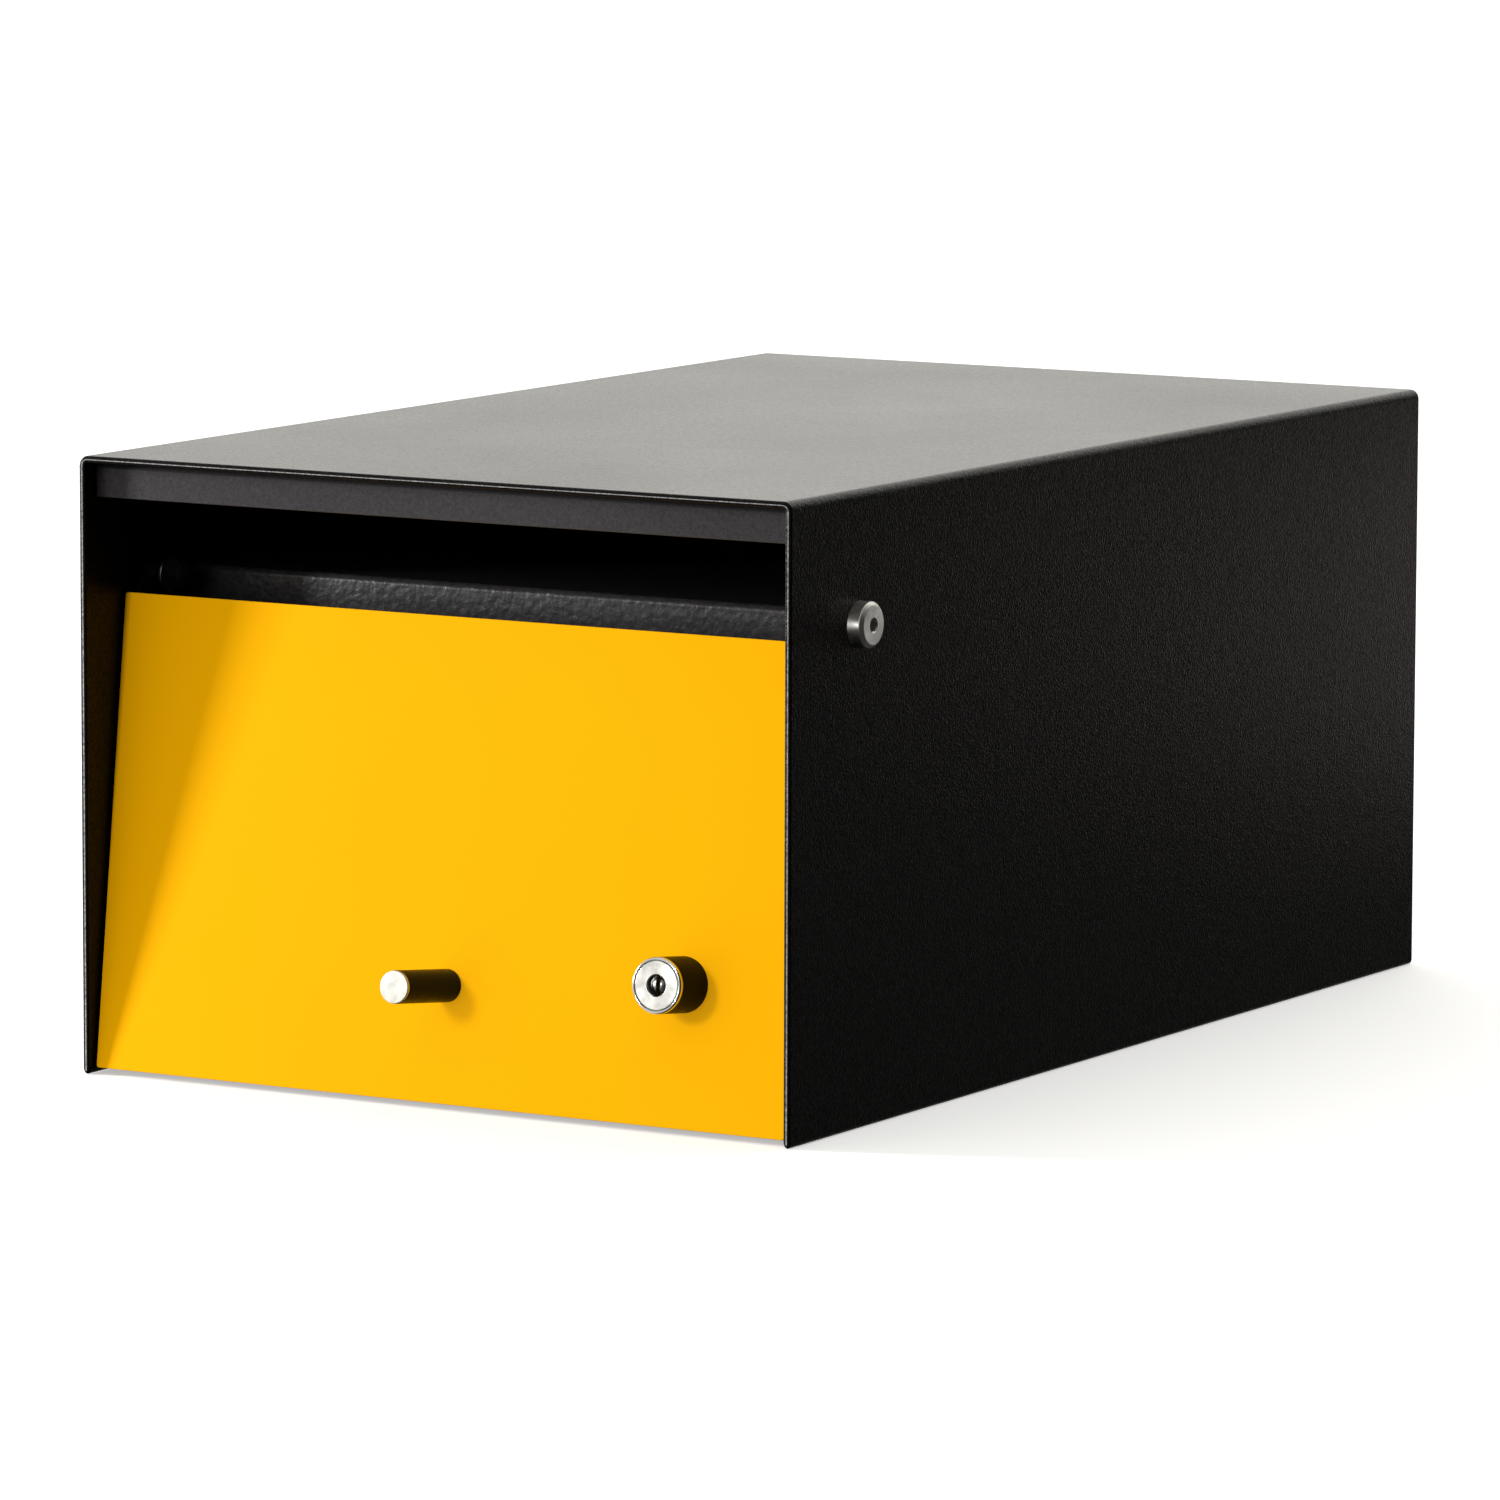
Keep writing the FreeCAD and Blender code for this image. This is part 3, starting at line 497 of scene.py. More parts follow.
# ----------------------------------------
# Base tray. A 1.6 mm floor with two side cheeks welded to the hood and a front edge folded
# up as the strike that the lock's cam drops behind. Four holes take the post bolts.
base_low, base_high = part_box("base_pan")
base_size = base_high - base_low
base_middle = (base_low + base_high) / 2
pan_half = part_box("door_pan")[1].x
strike_play = 5.5 * MM
strike_half = pan_half - sheet - strike_play
base_cheek = 16 * MM
base_cheek_front = hood_low.y + 34 * MM
base_cheek_back = hood_high.y - 18.2 * MM
post_span = (150 * MM, 260 * MM)
post_hole = 4.25 * MM
base = begin("base_tray", bpy.ops.mesh.primitive_plane_add, size=1, rotation=(math.pi, 0, 0),
             location=(0, base_middle.y, base_low.z), scale=(base_size.x, base_size.y, 1))
nick(base, base_high.x, base_cheek_front, base_cheek_back)
slit(base, (0, base_low.y + relief, 0), (0, 1, 0))
for side in (-1, 1):
    for line in (strike_half, strike_half + relief / 2):
        slit(base, (side * line, 0, 0), (1, 0, 0))
notch(base, lambda middle, normal: middle.y < base_low.y + relief
      and strike_half < abs(middle.x) < strike_half + relief / 2)
base_flank = flank(base_high.x, base_cheek_front, base_cheek_back)


def on_strike(a, b):
    return lying(y=base_low.y)(a, b) and abs(a.x + b.x) / 2 < strike_half


fold(base, (0, 0, base_size.z), on_strike)
fold(base, (0, 0, base_cheek), base_flank)
bend(base, press_bend, lambda a, b: lying(z=base_low.z)(a, b)
     and (on_strike(a, b) or base_flank(a, b)))
thicken(base, sheet)
for side in (-1, 1):
    for end in (-1, 1):
        drill(base, (side * post_span[0] / 2, end * post_span[1] / 2, base_low.z), (0, 0, 1),
              post_hole, 8 * sheet)
soften(base, rim_round)
hand_over(base, black_coat, "black_powder_coat", "box", "base_pan")

# ----------------------------------------
# Back cover. A shallow 1.6 mm pan with rounded corners that closes the back, its flanges
# turned forwards inside the hood and plug welded there.
cover_low, cover_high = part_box("back_panel")
cover_size = cover_high - cover_low
cover_corner = 2.5 * MM
cover = begin("back_cover", bpy.ops.mesh.primitive_plane_add, size=1,
              rotation=(-math.pi / 2, 0, 0),
              location=(0, cover_high.y, (cover_low.z + cover_high.z) / 2),
              scale=(cover_size.x, cover_size.z, 1))
fold(cover, (0, -cover_size.y, 0), lambda a, b: True)
bend(cover, cover_corner, lambda a, b: not lying(y=cover_low.y)(a, b))
thicken(cover, sheet)
soften(cover, rim_round)
hand_over(cover, black_coat, "black_powder_coat", "box", "back_panel")

# ----------------------------------------
# Door pan. The 1.6 mm inner half of the door, folded on four sides. The side folds rise
# into two ears with holes for the hinge bushes. It is drawn flat and then leaned back.
lock_joint = frame["joints"][1]
lean = math.asin(lock_joint["axis"][2])
face_low, face_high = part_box("door_face")
face_sheet = 1.5 * MM
tape_thick = 0.8 * MM
door_foot = Vector((0, face_low.y, face_low.z + face_sheet * math.sin(lean)))
door_tall = (face_high.z - door_foot.z) / math.cos(lean)
door_place = Matrix.Translation(door_foot) @ Matrix.Rotation(-lean, 4, "X")
ear_centre = door_place.inverted() @ pivot_spot
knob_axis = Vector((3 * MM, 0, 38 * MM))
lock_axis = door_place.inverted() @ Vector(lock_joint["pos_m"])


def draw_outline(name, corners):
    """Starts a piece as one flat face through these corners, taken in turn."""
    piece = begin(name, bpy.ops.mesh.primitive_circle_add, vertices=len(corners), radius=MM,
                  fill_type="NGON")
    shape = bmesh.from_edit_mesh(piece.data)
    for vertex, corner in zip(shape.verts, corners):
        vertex.co = corner
    bmesh.update_edit_mesh(piece.data)
    return piece


def weld(name, piece, *others):
    """Joins separate sheets or solids into one piece and merges where they meet."""
    take(piece)
    for other in others:
        other.select_set(True)
    bpy.ops.object.join()
    bpy.ops.object.mode_set(mode="EDIT")
    bpy.ops.mesh.select_all(action="SELECT")
    bpy.ops.mesh.remove_doubles(threshold=0.005 * MM)
    piece.name = name
    return piece


pan_front = face_sheet + tape_thick
pan_foot = 0.8 * MM
pan_head = door_tall - pan_foot
hem = 7 * MM
cheek_deep = 13 * MM
cheek_clip = 5.5 * MM
ear_radius = 9.8 * MM
ear_blend = 30 * MM
ear_starts_at = -31.3
ear_turns_by = 178
ear_steps = 20
bush_hole = 5.15 * MM
knob_hole = 2.6 * MM
lock_hole = 8.1 * MM
ear_arc = []
for step in range(ear_steps + 1):
    angle = math.radians(ear_starts_at + ear_turns_by * step / ear_steps)
    ear_arc.append((ear_centre.y + ear_radius * math.cos(angle),
                    ear_centre.z + ear_radius * math.sin(angle)))
cheek_outline = [(pan_front, pan_foot + relief), (pan_front + relief, pan_foot + relief),
                 (pan_front + relief, pan_foot), (pan_front + hem, pan_foot),
                 (cheek_deep, pan_foot + cheek_clip), (cheek_deep, ear_centre.z - ear_blend),
                 *ear_arc, (pan_front + relief, pan_head + relief),
                 (pan_front + relief, pan_head - relief), (pan_front, pan_head - relief)]
pan = begin("door_inner_pan", bpy.ops.mesh.primitive_plane_add, size=1,
            rotation=(math.pi / 2, 0, 0), location=(0, pan_front, door_tall / 2),
            scale=(2 * pan_half, pan_head - pan_foot, 1))
for line in (pan_foot + relief, pan_head - relief):
    slit(pan, (0, 0, line), (0, 0, 1))
for line in (relief - pan_half, pan_half - relief):
    slit(pan, (line, 0, 0), (1, 0, 0))
notch(pan, lambda middle, normal: abs(middle.x) > pan_half - relief
      and not pan_foot + relief < middle.z < pan_head - relief)
hem_lines = [lying(y=pan_front, z=pan_foot), lying(y=pan_front, z=pan_head)]
fold(pan, (0, hem, 0), lambda a, b: any(test(a, b) for test in hem_lines))
cheeks = [draw_outline("cheek", [(x, y, z) for y, z in corners])
          for x, corners in ((pan_half, cheek_outline), (-pan_half, cheek_outline[::-1]))]
weld("door_inner_pan", pan, *cheeks)
cheek_lines = [lying(x=side * pan_half, y=pan_front) for side in (-1, 1)]
bend(pan, press_bend, lambda a, b: any(test(a, b) for test in hem_lines + cheek_lines))
thicken(pan, sheet)
drill(pan, ear_centre, (1, 0, 0), bush_hole, 2.2 * pan_half)
drill(pan, knob_axis, (0, 1, 0), knob_hole, 2 * cheek_deep)
drill(pan, lock_axis, (0, 1, 0), lock_hole, 4 * cheek_deep)
soften(pan, rim_round)
hand_over(pan, black_coat, "black_powder_coat", "door", "door_pan", place=door_place)

# ----------------------------------------
# Bonding tape. Four strips of 0.8 mm closed-cell foam tape hold the coloured panel on
# the pan and stop it drumming. Their cut edges swell a little.
foam, foam_shader, foam_spot = new_finish("foam_tape", (0.05, 0.05, 0.052), roughness=0.9)
cells = join_nodes(foam.node_tree, "ShaderNodeTexVoronoi",
                   {"Vector": foam_spot, "Scale": 2500}).outputs["Distance"]
emboss(foam_shader, cells, 0.1 * MM)
foam_pore = (0.03, 0.03, 0.032)
foam_skin = (0.09, 0.09, 0.094)
feed(foam_shader, "Base Color", tint(cells, foam_pore, foam_skin))
tape_wide = 12 * MM
tape_inset = 4 * MM
tape_low = pan_foot + tape_inset
tape_high = pan_head - tape_inset
tape_edge = pan_half - tape_inset
across = 2 * tape_edge - 3 * tape_wide
upright = tape_high - tape_low
strips = []
for x, z, wide, tall in ((tape_wide / 2 - tape_edge, (tape_low + tape_high) / 2, tape_wide, upright),
                         (tape_edge - tape_wide / 2, (tape_low + tape_high) / 2, tape_wide, upright),
                         (0, tape_high - tape_wide / 2, across, tape_wide),
                         (0, tape_low + tape_wide / 2, across, tape_wide)):
    strip = begin("strip", bpy.ops.mesh.primitive_cube_add, size=1,
                  location=(x, face_sheet + tape_thick / 2, z), scale=(wide, tape_thick, tall))
    pick(strip, "EDGE", lambda a, b: not same(a.y, b.y))
    bpy.ops.mesh.bevel(offset=MM, segments=4, affect="EDGES")
    take(strip)
    soften(strip, 0.3 * MM)
    strips.append(strip)
tape = weld("bonding_tape", *strips)
hand_over(tape, foam, "foam_tape", "door", "face_tape", place=door_place)

# ----------------------------------------
# Door panel. A flat 1.5 mm steel plate with small round corners and holes for the pull
# and the lock, powder coated in smooth matt yellow.
yellow, yellow_shader, yellow_spot = new_finish("smooth_yellow_coat", (1.0, 0.5, 0.001),
                                                roughness=0.55)
yellow_shader.inputs["Specular IOR Level"].default_value = 0.04
yellow_shader.inputs["Specular Tint"].default_value = (1.0, 0.45, 0.01, 1)
yellow_cloud = spread(noise(yellow_spot, 70 * MM, detail=3.0), 0.0, 1.0)
yellow_peel = noise(yellow_spot, 1.8 * MM)
yellow_dust = noise(yellow_spot, 0.35 * MM, detail=1.0)
deep_yellow = (0.95, 0.445, 0.0004)
clear_yellow = (0.97, 0.46, 0.0006)
rubbed_yellow = (0.8, 0.52, 0.08)
yellow_body = tint(yellow_cloud, deep_yellow, clear_yellow)
edge_wear = 0.35
yellow_edges = reckon("MULTIPLY", edge_mask(yellow_spot, 0.5 * MM), edge_wear)
feed(yellow_shader, "Base Color", tint(yellow_edges, yellow_body, rubbed_yellow))
feed(yellow_shader, "Roughness", spread(yellow_dust, 0.5, 0.62))
emboss(yellow_shader, yellow_peel, 0.02 * MM, strength=0.6)
panel_corner = 1.0 * MM
panel_rim = 0.35 * MM
panel = begin("yellow_door_panel", bpy.ops.mesh.primitive_cube_add, size=1,
              location=(0, face_sheet / 2, door_tall / 2),
              scale=(2 * face_high.x, face_sheet, door_tall))
pick(panel, "EDGE", lambda a, b: not same(a.y, b.y))
bpy.ops.mesh.bevel(offset=panel_corner, segments=4, affect="EDGES")
drill(panel, knob_axis, (0, 1, 0), knob_hole, 2 * cheek_deep)
drill(panel, lock_axis, (0, 1, 0), lock_hole, 4 * cheek_deep)
soften(panel, panel_rim)
hand_over(panel, yellow, "yellow_powder_coat", "door", "door_face", place=door_place)

# ----------------------------------------
# Hinge. On each side a turned stainless shoulder bolt goes in from outside, the door's
# ear swings on it in a flanged nylon bush, and a washer and a cap nut hold it inside.
def turned(name, outline, steps=64):
    """Spins a half section about its own Y axis into a closed turned piece.

    Each corner gives its radius, its distance along the axis and how much it is rounded.
    """
    piece = draw_outline(name, [(radius, along, 0) for radius, along, rounding in outline])
    for amount in sorted({rounding for radius, along, rounding in outline if rounding}):
        spots = [Vector((radius, along, 0)) for radius, along, rounding in outline
                 if rounding == amount]
        pick(piece, "VERT", lambda place: any((place - spot).length < 0.01 * MM for spot in spots))
        bpy.ops.mesh.bevel(offset=amount, segments=3, affect="VERTICES")
    pick(piece, "FACE", lambda middle, normal: True)
    bpy.ops.mesh.delete(type="ONLY_FACE")
    pick(piece, "EDGE", lambda a, b: same(a.x, 0) and same(b.x, 0))
    bpy.ops.mesh.delete(type="EDGE")
    bpy.ops.mesh.select_all(action="SELECT")
    bpy.ops.mesh.spin(steps=steps, angle=2 * math.pi, center=(0, 0, 0), axis=(0, 1, 0))
    bpy.ops.mesh.select_all(action="SELECT")
    bpy.ops.mesh.remove_doubles(threshold=0.002 * MM)
    bpy.ops.mesh.normals_make_consistent(inside=False)
    take(piece)
    return piece


def ring(name, bore, rim, front, back, roundings, steps=64):
    """Turns a washer, bush or collar. Its corners are rounded in turn, from the front bore."""
    corners = ((bore, front), (rim, front), (rim, back), (bore, back))
    return turned(name, [(*corner, rounding * MM) for corner, rounding in zip(corners, roundings)],
                  steps)


def thread(radius, depth, start, stop, pitch):
    """Corners of a screw thread's crests and roots along a turned outline."""
    count = int(abs(stop - start) / pitch)
    step = (stop - start) / count
    corners = []
    for turn in range(count):
        corners.append((radius - depth, start + step * turn, 0))
        corners.append((radius, start + step * (turn + 0.4), 0))
        corners.append((radius, start + step * (turn + 0.6), 0))
    corners.append((radius - depth, stop, 0))
    return corners


def over_corners(flats):
    """The radius to the corners of a hexagon of this size over its flats."""
    return flats / 2 / math.cos(math.pi / 6)


def hexagon_bar(flats, start, stop):
    """A hexagon prism along Y, as bar stock or as a socket's broach."""
    bar = begin("hexagon", bpy.ops.mesh.primitive_cylinder_add, vertices=6,
                radius=over_corners(flats), depth=stop - start,
                location=(0, (start + stop) / 2, 0), rotation=(math.pi / 2, math.pi / 6, 0))
    take(bar)
    return bar


def cut_flats(piece, flats, start, stop):
    """Cuts a turned piece down to the flats of a hexagon bar."""
    carve(piece, hexagon_bar(flats, start - MM, stop + MM), "INTERSECT")


def hand_over_pair(piece, places, material, slot, body, nodes):
    """Copies a right-hand piece to the left with a mesh of its own, and hands both over."""
    copy = piece.copy()
    copy.data = piece.data.copy()
    copy.name = piece.name.replace("right", "left")
    copy.data.name = copy.name
    bpy.context.scene.collection.objects.link(copy)
    for one, place, node in zip((piece, copy), places, nodes):
        hand_over(one, material, slot, body, node, place=place)


def turned_metal(name, base, roughness, placement, pitch, cut, mottle):
    """Metal with the fine rings that the tool leaves round a turned piece's own axis."""
    finish, shader, spot = new_finish(name, base, roughness, metallic=1.0)
    place, turn, size = placement.decompose()
    centred = join_nodes(finish.node_tree, "ShaderNodeMapping",
                         {"Vector": spot, "Location": place, "Rotation": turn.to_euler()},
                         vector_type="TEXTURE").outputs[0]
    wander = noise(centred, 1.5 * MM, detail=3.0)
    rings = join_nodes(finish.node_tree, "ShaderNodeTexWave",
                       {"Vector": centred, "Scale": math.pi / 10 / pitch, "Distortion": 0.6,
                        "Detail": 2.0}, wave_type="RINGS", rings_direction="Y").outputs["Fac"]
    stain = spread(noise(centred, 4 * MM, detail=3.0), 0.0, 1.0)
    dark = tuple(channel * mottle for channel in base)
    feed(shader, "Base Color", tint(stain, dark, base))
    feed(shader, "Roughness", spread(wander, 0.8 * roughness, 1.25 * roughness))
    emboss(shader, rings, cut)
    return finish


def bright_zinc(name, placement, pitch):
    """Bright zinc plating over a turned steel piece."""
    return turned_metal(name, (0.63, 0.65, 0.66), 0.3, placement, pitch, cut=0.004 * MM, mottle=0.8)


def dull(finish, ior):
    """Takes the metal's shine off a finish, as black plating and anodising do."""
    shader = finish.node_tree.nodes["Principled BSDF"]
    shader.inputs["Metallic"].default_value = 0.0
    shader.inputs["IOR"].default_value = ior


def moulded(name, base, roughness, grain, relief_deep):
    """A moulded plastic or rubber with a fine spark-eroded grain."""
    finish, shader, spot = new_finish(name, base, roughness)
    sand = noise(spot, grain, detail=3.0)
    emboss(shader, sand, relief_deep)
    feed(shader, "Roughness", spread(noise(spot, 3 * MM), 0.85 * roughness, 1.1 * roughness))
    lighter = tuple(1.5 * channel for channel in base)
    feed(shader, "Base Color", tint(spread(sand, 0.0, 1.0), base, lighter))
    return finish


right_side = (Matrix.Translation((hood_high.x, pivot_spot.y, pivot_spot.z))
              @ Matrix.Rotation(math.pi / 2, 4, "Z"))
half_turn = (Matrix.Translation((0, pivot_spot.y, 0)) @ Matrix.Rotation(math.pi, 4, "Z")
             @ Matrix.Translation((0, -pivot_spot.y, 0)))
hinge_sides = (right_side, half_turn @ right_side)
stainless = turned_metal("turned_stainless", (0.62, 0.61, 0.58), 0.36, right_side,
                         pitch=0.22 * MM, cut=0.02 * MM, mottle=0.86)
zinc = bright_zinc("bright_zinc", right_side, pitch=0.5 * MM)
black_zinc = turned_metal("black_zinc", (0.012, 0.012, 0.0125), 0.5, right_side,
                          pitch=0.5 * MM, cut=0.004 * MM, mottle=0.7)
dull(black_zinc, ior=1.2)
nylon = moulded("black_nylon", (0.02, 0.02, 0.02), 0.55, grain=0.5 * MM, relief_deep=0.02 * MM)

ear_outside = hood_high.x - pan_half
bolt_head = 7.5 * MM
bolt_face = 6.3 * MM
head_front = -5.6 * MM
head_slope = -4.5 * MM
shoulder = 4 * MM
shoulder_long = ear_outside + sheet + 0.5 * MM
bolt_thread = 3 * MM
washer_thick = 1.2 * MM
bolt_tail = 6 * MM
bolt_end = shoulder_long + washer_thick + bolt_tail
socket_mouth = 3.4 * MM
socket_lead_front = -6.5 * MM
socket_flats = 4 * MM
socket_floor = -2.6 * MM
bolt = turned("shoulder_bolt_right", [
    (0, head_front, 0), (bolt_face, head_front, 0.3 * MM), (bolt_head, head_slope, 0.35 * MM),
    (bolt_head, 0, 0.25 * MM), (shoulder, 0, 0), (shoulder, shoulder_long, 0.2 * MM),
    *thread(bolt_thread, 0.5 * MM, shoulder_long, bolt_end, MM), (0, bolt_end, 0)], steps=96)
carve(bolt, turned("lead", [(0, socket_lead_front, 0), (socket_mouth, socket_lead_front, 0),
                            (0, socket_lead_front + socket_mouth, 0)]))
carve(bolt, hexagon_bar(socket_flats, -8 * MM, socket_floor))
hand_over_pair(bolt, hinge_sides, stainless, "stainless", "box",
               ("pivot_bolt_right", "pivot_bolt_left"))

bush_bore = 4.05 * MM
bush_radius = 5.05 * MM
bush_flange = 7 * MM
bush_front = ear_outside - 1.1 * MM
bush_back = ear_outside + sheet + 0.1 * MM
bush = turned("flanged_bush_right", [
    (bush_bore, bush_front, 0.15 * MM), (bush_flange, bush_front, 0.3 * MM),
    (bush_flange, ear_outside, 0.2 * MM), (bush_radius, ear_outside, 0.1 * MM),
    (bush_radius, bush_back, 0.2 * MM), (bush_bore, bush_back, 0.1 * MM)])
hand_over_pair(bush, hinge_sides, nylon, "black_nylon", "door",
               ("hinge_bush_right", "hinge_bush_left"))

thread_bore = 3.1 * MM
bolt_washer_rim = 6 * MM
nut_front = shoulder_long + washer_thick
washer = ring("bolt_washer_right", thread_bore, bolt_washer_rim, shoulder_long, nut_front,
              roundings=(0.1, 0.2, 0.3, 0.1))
hand_over_pair(washer, hinge_sides, zinc, "zinc_steel", "box", 2 * ("pivot_washers",))

nut_flats = 10 * MM
nut_tall = 5 * MM
nut_dome = 3.2 * MM
nut_corner = over_corners(nut_flats)
nut_top = nut_front + nut_tall
nut_chamfer = 0.45 * MM
nut_well = nut_front + bolt_tail + 0.1 * MM
dome = []
for degrees in range(0, 90, 15):
    angle = math.radians(degrees)
    dome.append((nut_flats / 2 * math.cos(angle), nut_top + nut_dome * math.sin(angle), 0))
nut = turned("cap_nut_right", [
    (thread_bore, nut_front, 0), (nut_flats / 2, nut_front, 0),
    (nut_corner, nut_front + nut_chamfer, 0), (nut_corner, nut_top - nut_chamfer, 0), *dome,
    (0, nut_top + nut_dome, 0), (0, nut_well, 0), (thread_bore, nut_well, 0)])
cut_flats(nut, nut_flats, nut_front, nut_top + nut_dome)
soften(nut, 0.15 * MM, 2)
hand_over_pair(nut, hinge_sides, black_zinc, "zinc_steel", "box", 2 * ("pivot_cap_nuts",))

# ----------------------------------------
# Buffers. Two domed buttons that the shut door rests on. They are moulded in black rubber
# and stuck on the front of the strike.
rubber = moulded("black_rubber", (0.017, 0.017, 0.017), 0.75, grain=0.35 * MM, relief_deep=0.03 * MM)
buffer_low, buffer_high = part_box("door_buffers")
buffer_radius = (buffer_high.z - buffer_low.z) / 2
buffer_thick = buffer_high.y - buffer_low.y
buffer_x = buffer_high.x - buffer_radius
buffer = turned("rubber_buffer_right", [
    (0, 0.15 * MM, 0), (1.5 * MM, 0, 0.3 * MM), (buffer_radius, 0, 1.3 * MM),
    (buffer_radius, buffer_thick, 0.2 * MM), (0, buffer_thick, 0)])
buffer_spots = [Matrix.Translation((x, buffer_low.y, (buffer_low.z + buffer_high.z) / 2))
                for x in (buffer_x, -buffer_x)]
hand_over_pair(buffer, buffer_spots, rubber, "black_rubber", "box", 2 * ("door_buffers",))

# ----------------------------------------
# Pull. A turned black anodised post with a bright faced aluminium disc pressed into its
# end, held by a socket screw and a washer from inside the door.
knob_place = door_place @ Matrix.Translation(knob_axis)
anodised = turned_metal("satin_black_anodised", (0.005, 0.008, 0.012), 0.3, knob_place,
                        pitch=0.3 * MM, cut=0.004 * MM, mottle=0.75)
dull(anodised, ior=1.12)
faced = turned_metal("faced_aluminium", (0.6, 0.59, 0.545), 0.6, knob_place,
                     pitch=0.2 * MM, cut=0.006 * MM, mottle=0.93)
knob_zinc = bright_zinc("screw_zinc", knob_place, pitch=0.4 * MM)
pan_back = pan_front + sheet
knob_radius = 5.35 * MM
knob_foot = 0.5 * MM
knob_tip = -30.8 * MM
knob_end = -32 * MM
disc_radius = 5.25 * MM
spigot_bore = 2.1 * MM
spigot = 2 * MM
spigot_end = -26.8 * MM
spigot_floor = spigot_end + 0.1 * MM
screw_radius = 2.5 * MM
screw_tip = -10 * MM
tapped_end = screw_tip - 2 * MM
post = turned("pull_post", [
    (spigot_bore, knob_tip, 0), (knob_radius, knob_tip, 0.15 * MM),
    (knob_radius, -knob_foot, 0.1 * MM), (knob_radius - knob_foot, 0, 0.1 * MM), (knob_hole, 0, 0),
    (knob_hole, tapped_end, 0), (0, tapped_end, 0), (0, spigot_floor, 0),
    (spigot_bore, spigot_floor, 0)], steps=96)
hand_over(post, anodised, "black_anodised", "door", "knob_post", place=knob_place)
disc = turned("pull_end_disc", [
    (0, knob_end, 0), (disc_radius, knob_end, 0.3 * MM), (disc_radius, knob_tip, 0.1 * MM),
    (spigot, knob_tip, 0), (spigot, spigot_end, 0.3 * MM), (0, spigot_end, 0)], steps=96)
hand_over(disc, faced, "bare_aluminium", "door", "knob_end_disc", place=knob_place)
screw_seat = pan_back + MM
screw_head = 4.5 * MM
screw_head_top = screw_seat + 3.2 * MM
pull_screw = turned("pull_screw", [
    (0, screw_tip, 0), *thread(screw_radius, 0.4 * MM, screw_tip, screw_seat, 0.8 * MM),
    (screw_head, screw_seat, 0.2 * MM), (screw_head, screw_seat + 1.6 * MM, 0.4 * MM),
    (3 * MM, screw_head_top, 0.4 * MM), (0, screw_head_top, 0)])
carve(pull_screw, hexagon_bar(3 * MM, screw_seat + 1.4 * MM, screw_seat + 5 * MM))
hand_over(pull_screw, knob_zinc, "zinc_steel", "door", "knob_screw", place=knob_place)
pull_washer = ring("pull_washer", knob_hole, 7 * MM, pan_back, screw_seat,
                   roundings=(0, 0.2, 0.25, 0.1))
hand_over(pull_washer, knob_zinc, "zinc_steel", "door", "knob_washer", place=knob_place)

# ----------------------------------------
# Lock body. A chromed cam lock: a black collar spaces its rim off the door, and a toothed
# washer and a hexagon nut pull its threaded barrel tight from inside.
lock_place = door_place @ Matrix.Translation((lock_axis.x, 0, lock_axis.z))
chrome = turned_metal("lock_chrome", (0.82, 0.82, 0.82), 0.12, lock_place,
                      pitch=0.4 * MM, cut=0.002 * MM, mottle=0.93)
collar_black = moulded("collar_black", (0.003, 0.003, 0.003), 0.42, grain=0.4 * MM,
                       relief_deep=0.008 * MM)
dull(collar_black, ior=1.12)
lock_zinc = bright_zinc("nut_zinc", lock_place, pitch=0.5 * MM)
lock_proud = -17 * MM
rim_inside = 8.1 * MM
rim_crest = 8.6 * MM
plug_recess = lock_proud + 1.3 * MM
collar_front = -15.3 * MM
lock_radius = 9 * MM
barrel = 8 * MM
barrel_end = pan_back + 6.8 * MM
plug_bore = 6.05 * MM
collar = ring("lock_collar_ring", lock_hole, lock_radius, collar_front, 0,
              roundings=(0.15, 0.3, 0.3, 0.1), steps=96)
hand_over(collar, collar_black, "black_anodised", "door", "lock_collar", place=lock_place)
housing = turned("lock_barrel", [
    (plug_bore, plug_recess, 0), (rim_inside, plug_recess, 0), (rim_inside, lock_proud, 0.2 * MM),
    (rim_crest, lock_proud, 0.15 * MM), (lock_radius, lock_proud + 0.4 * MM, 0.15 * MM),
    (lock_radius, collar_front, 0.2 * MM), (barrel, collar_front, 0), (barrel, -MM, 0),
    *thread(barrel, 0.5 * MM, -MM, barrel_end, MM), (plug_bore, barrel_end, 0.1 * MM)], steps=96)
hand_over(housing, chrome, "lock_chrome", "door", "lock_housing", place=lock_place)

tooth_back = pan_back + 0.8 * MM
tooth_count = 16
tooth_root = 9.3 * MM
tooth_tip = 10.5 * MM
tooth_twist = 0.2 * MM
toothed = ring("toothed_washer", lock_hole, tooth_root, pan_back + tooth_twist,
               tooth_back - tooth_twist, roundings=(0, 0, 0, 0), steps=4 * tooth_count)
bpy.ops.object.mode_set(mode="EDIT")


def tooth_share(place):
    """How far round its own tooth's pitch a place stands, from 0 to 1."""
    return math.atan2(place.z, place.x) / (2 * math.pi) * tooth_count % 1


pick(toothed, "FACE", lambda middle, normal: 0.25 < tooth_share(middle) < 0.75
     and math.hypot(middle.x, middle.z) > tooth_root - 0.1 * MM)
bpy.ops.mesh.extrude_region_move()
bpy.ops.transform.resize(value=(tooth_tip / tooth_root, 1, tooth_tip / tooth_root),
                         center_override=(0, 0, 0))
for way, low, high in ((-1, 0.2, 0.3), (1, 0.7, 0.8)):
    pick(toothed, "VERT", lambda place: low < tooth_share(place) < high
         and math.hypot(place.x, place.z) > tooth_root + 0.5 * MM)
    bpy.ops.transform.translate(value=(0, way * tooth_twist, 0))
soften(toothed, 0.06 * MM, 2)
hand_over(toothed, lock_zinc, "zinc_steel", "door", "lock_tooth_washer", place=lock_place)

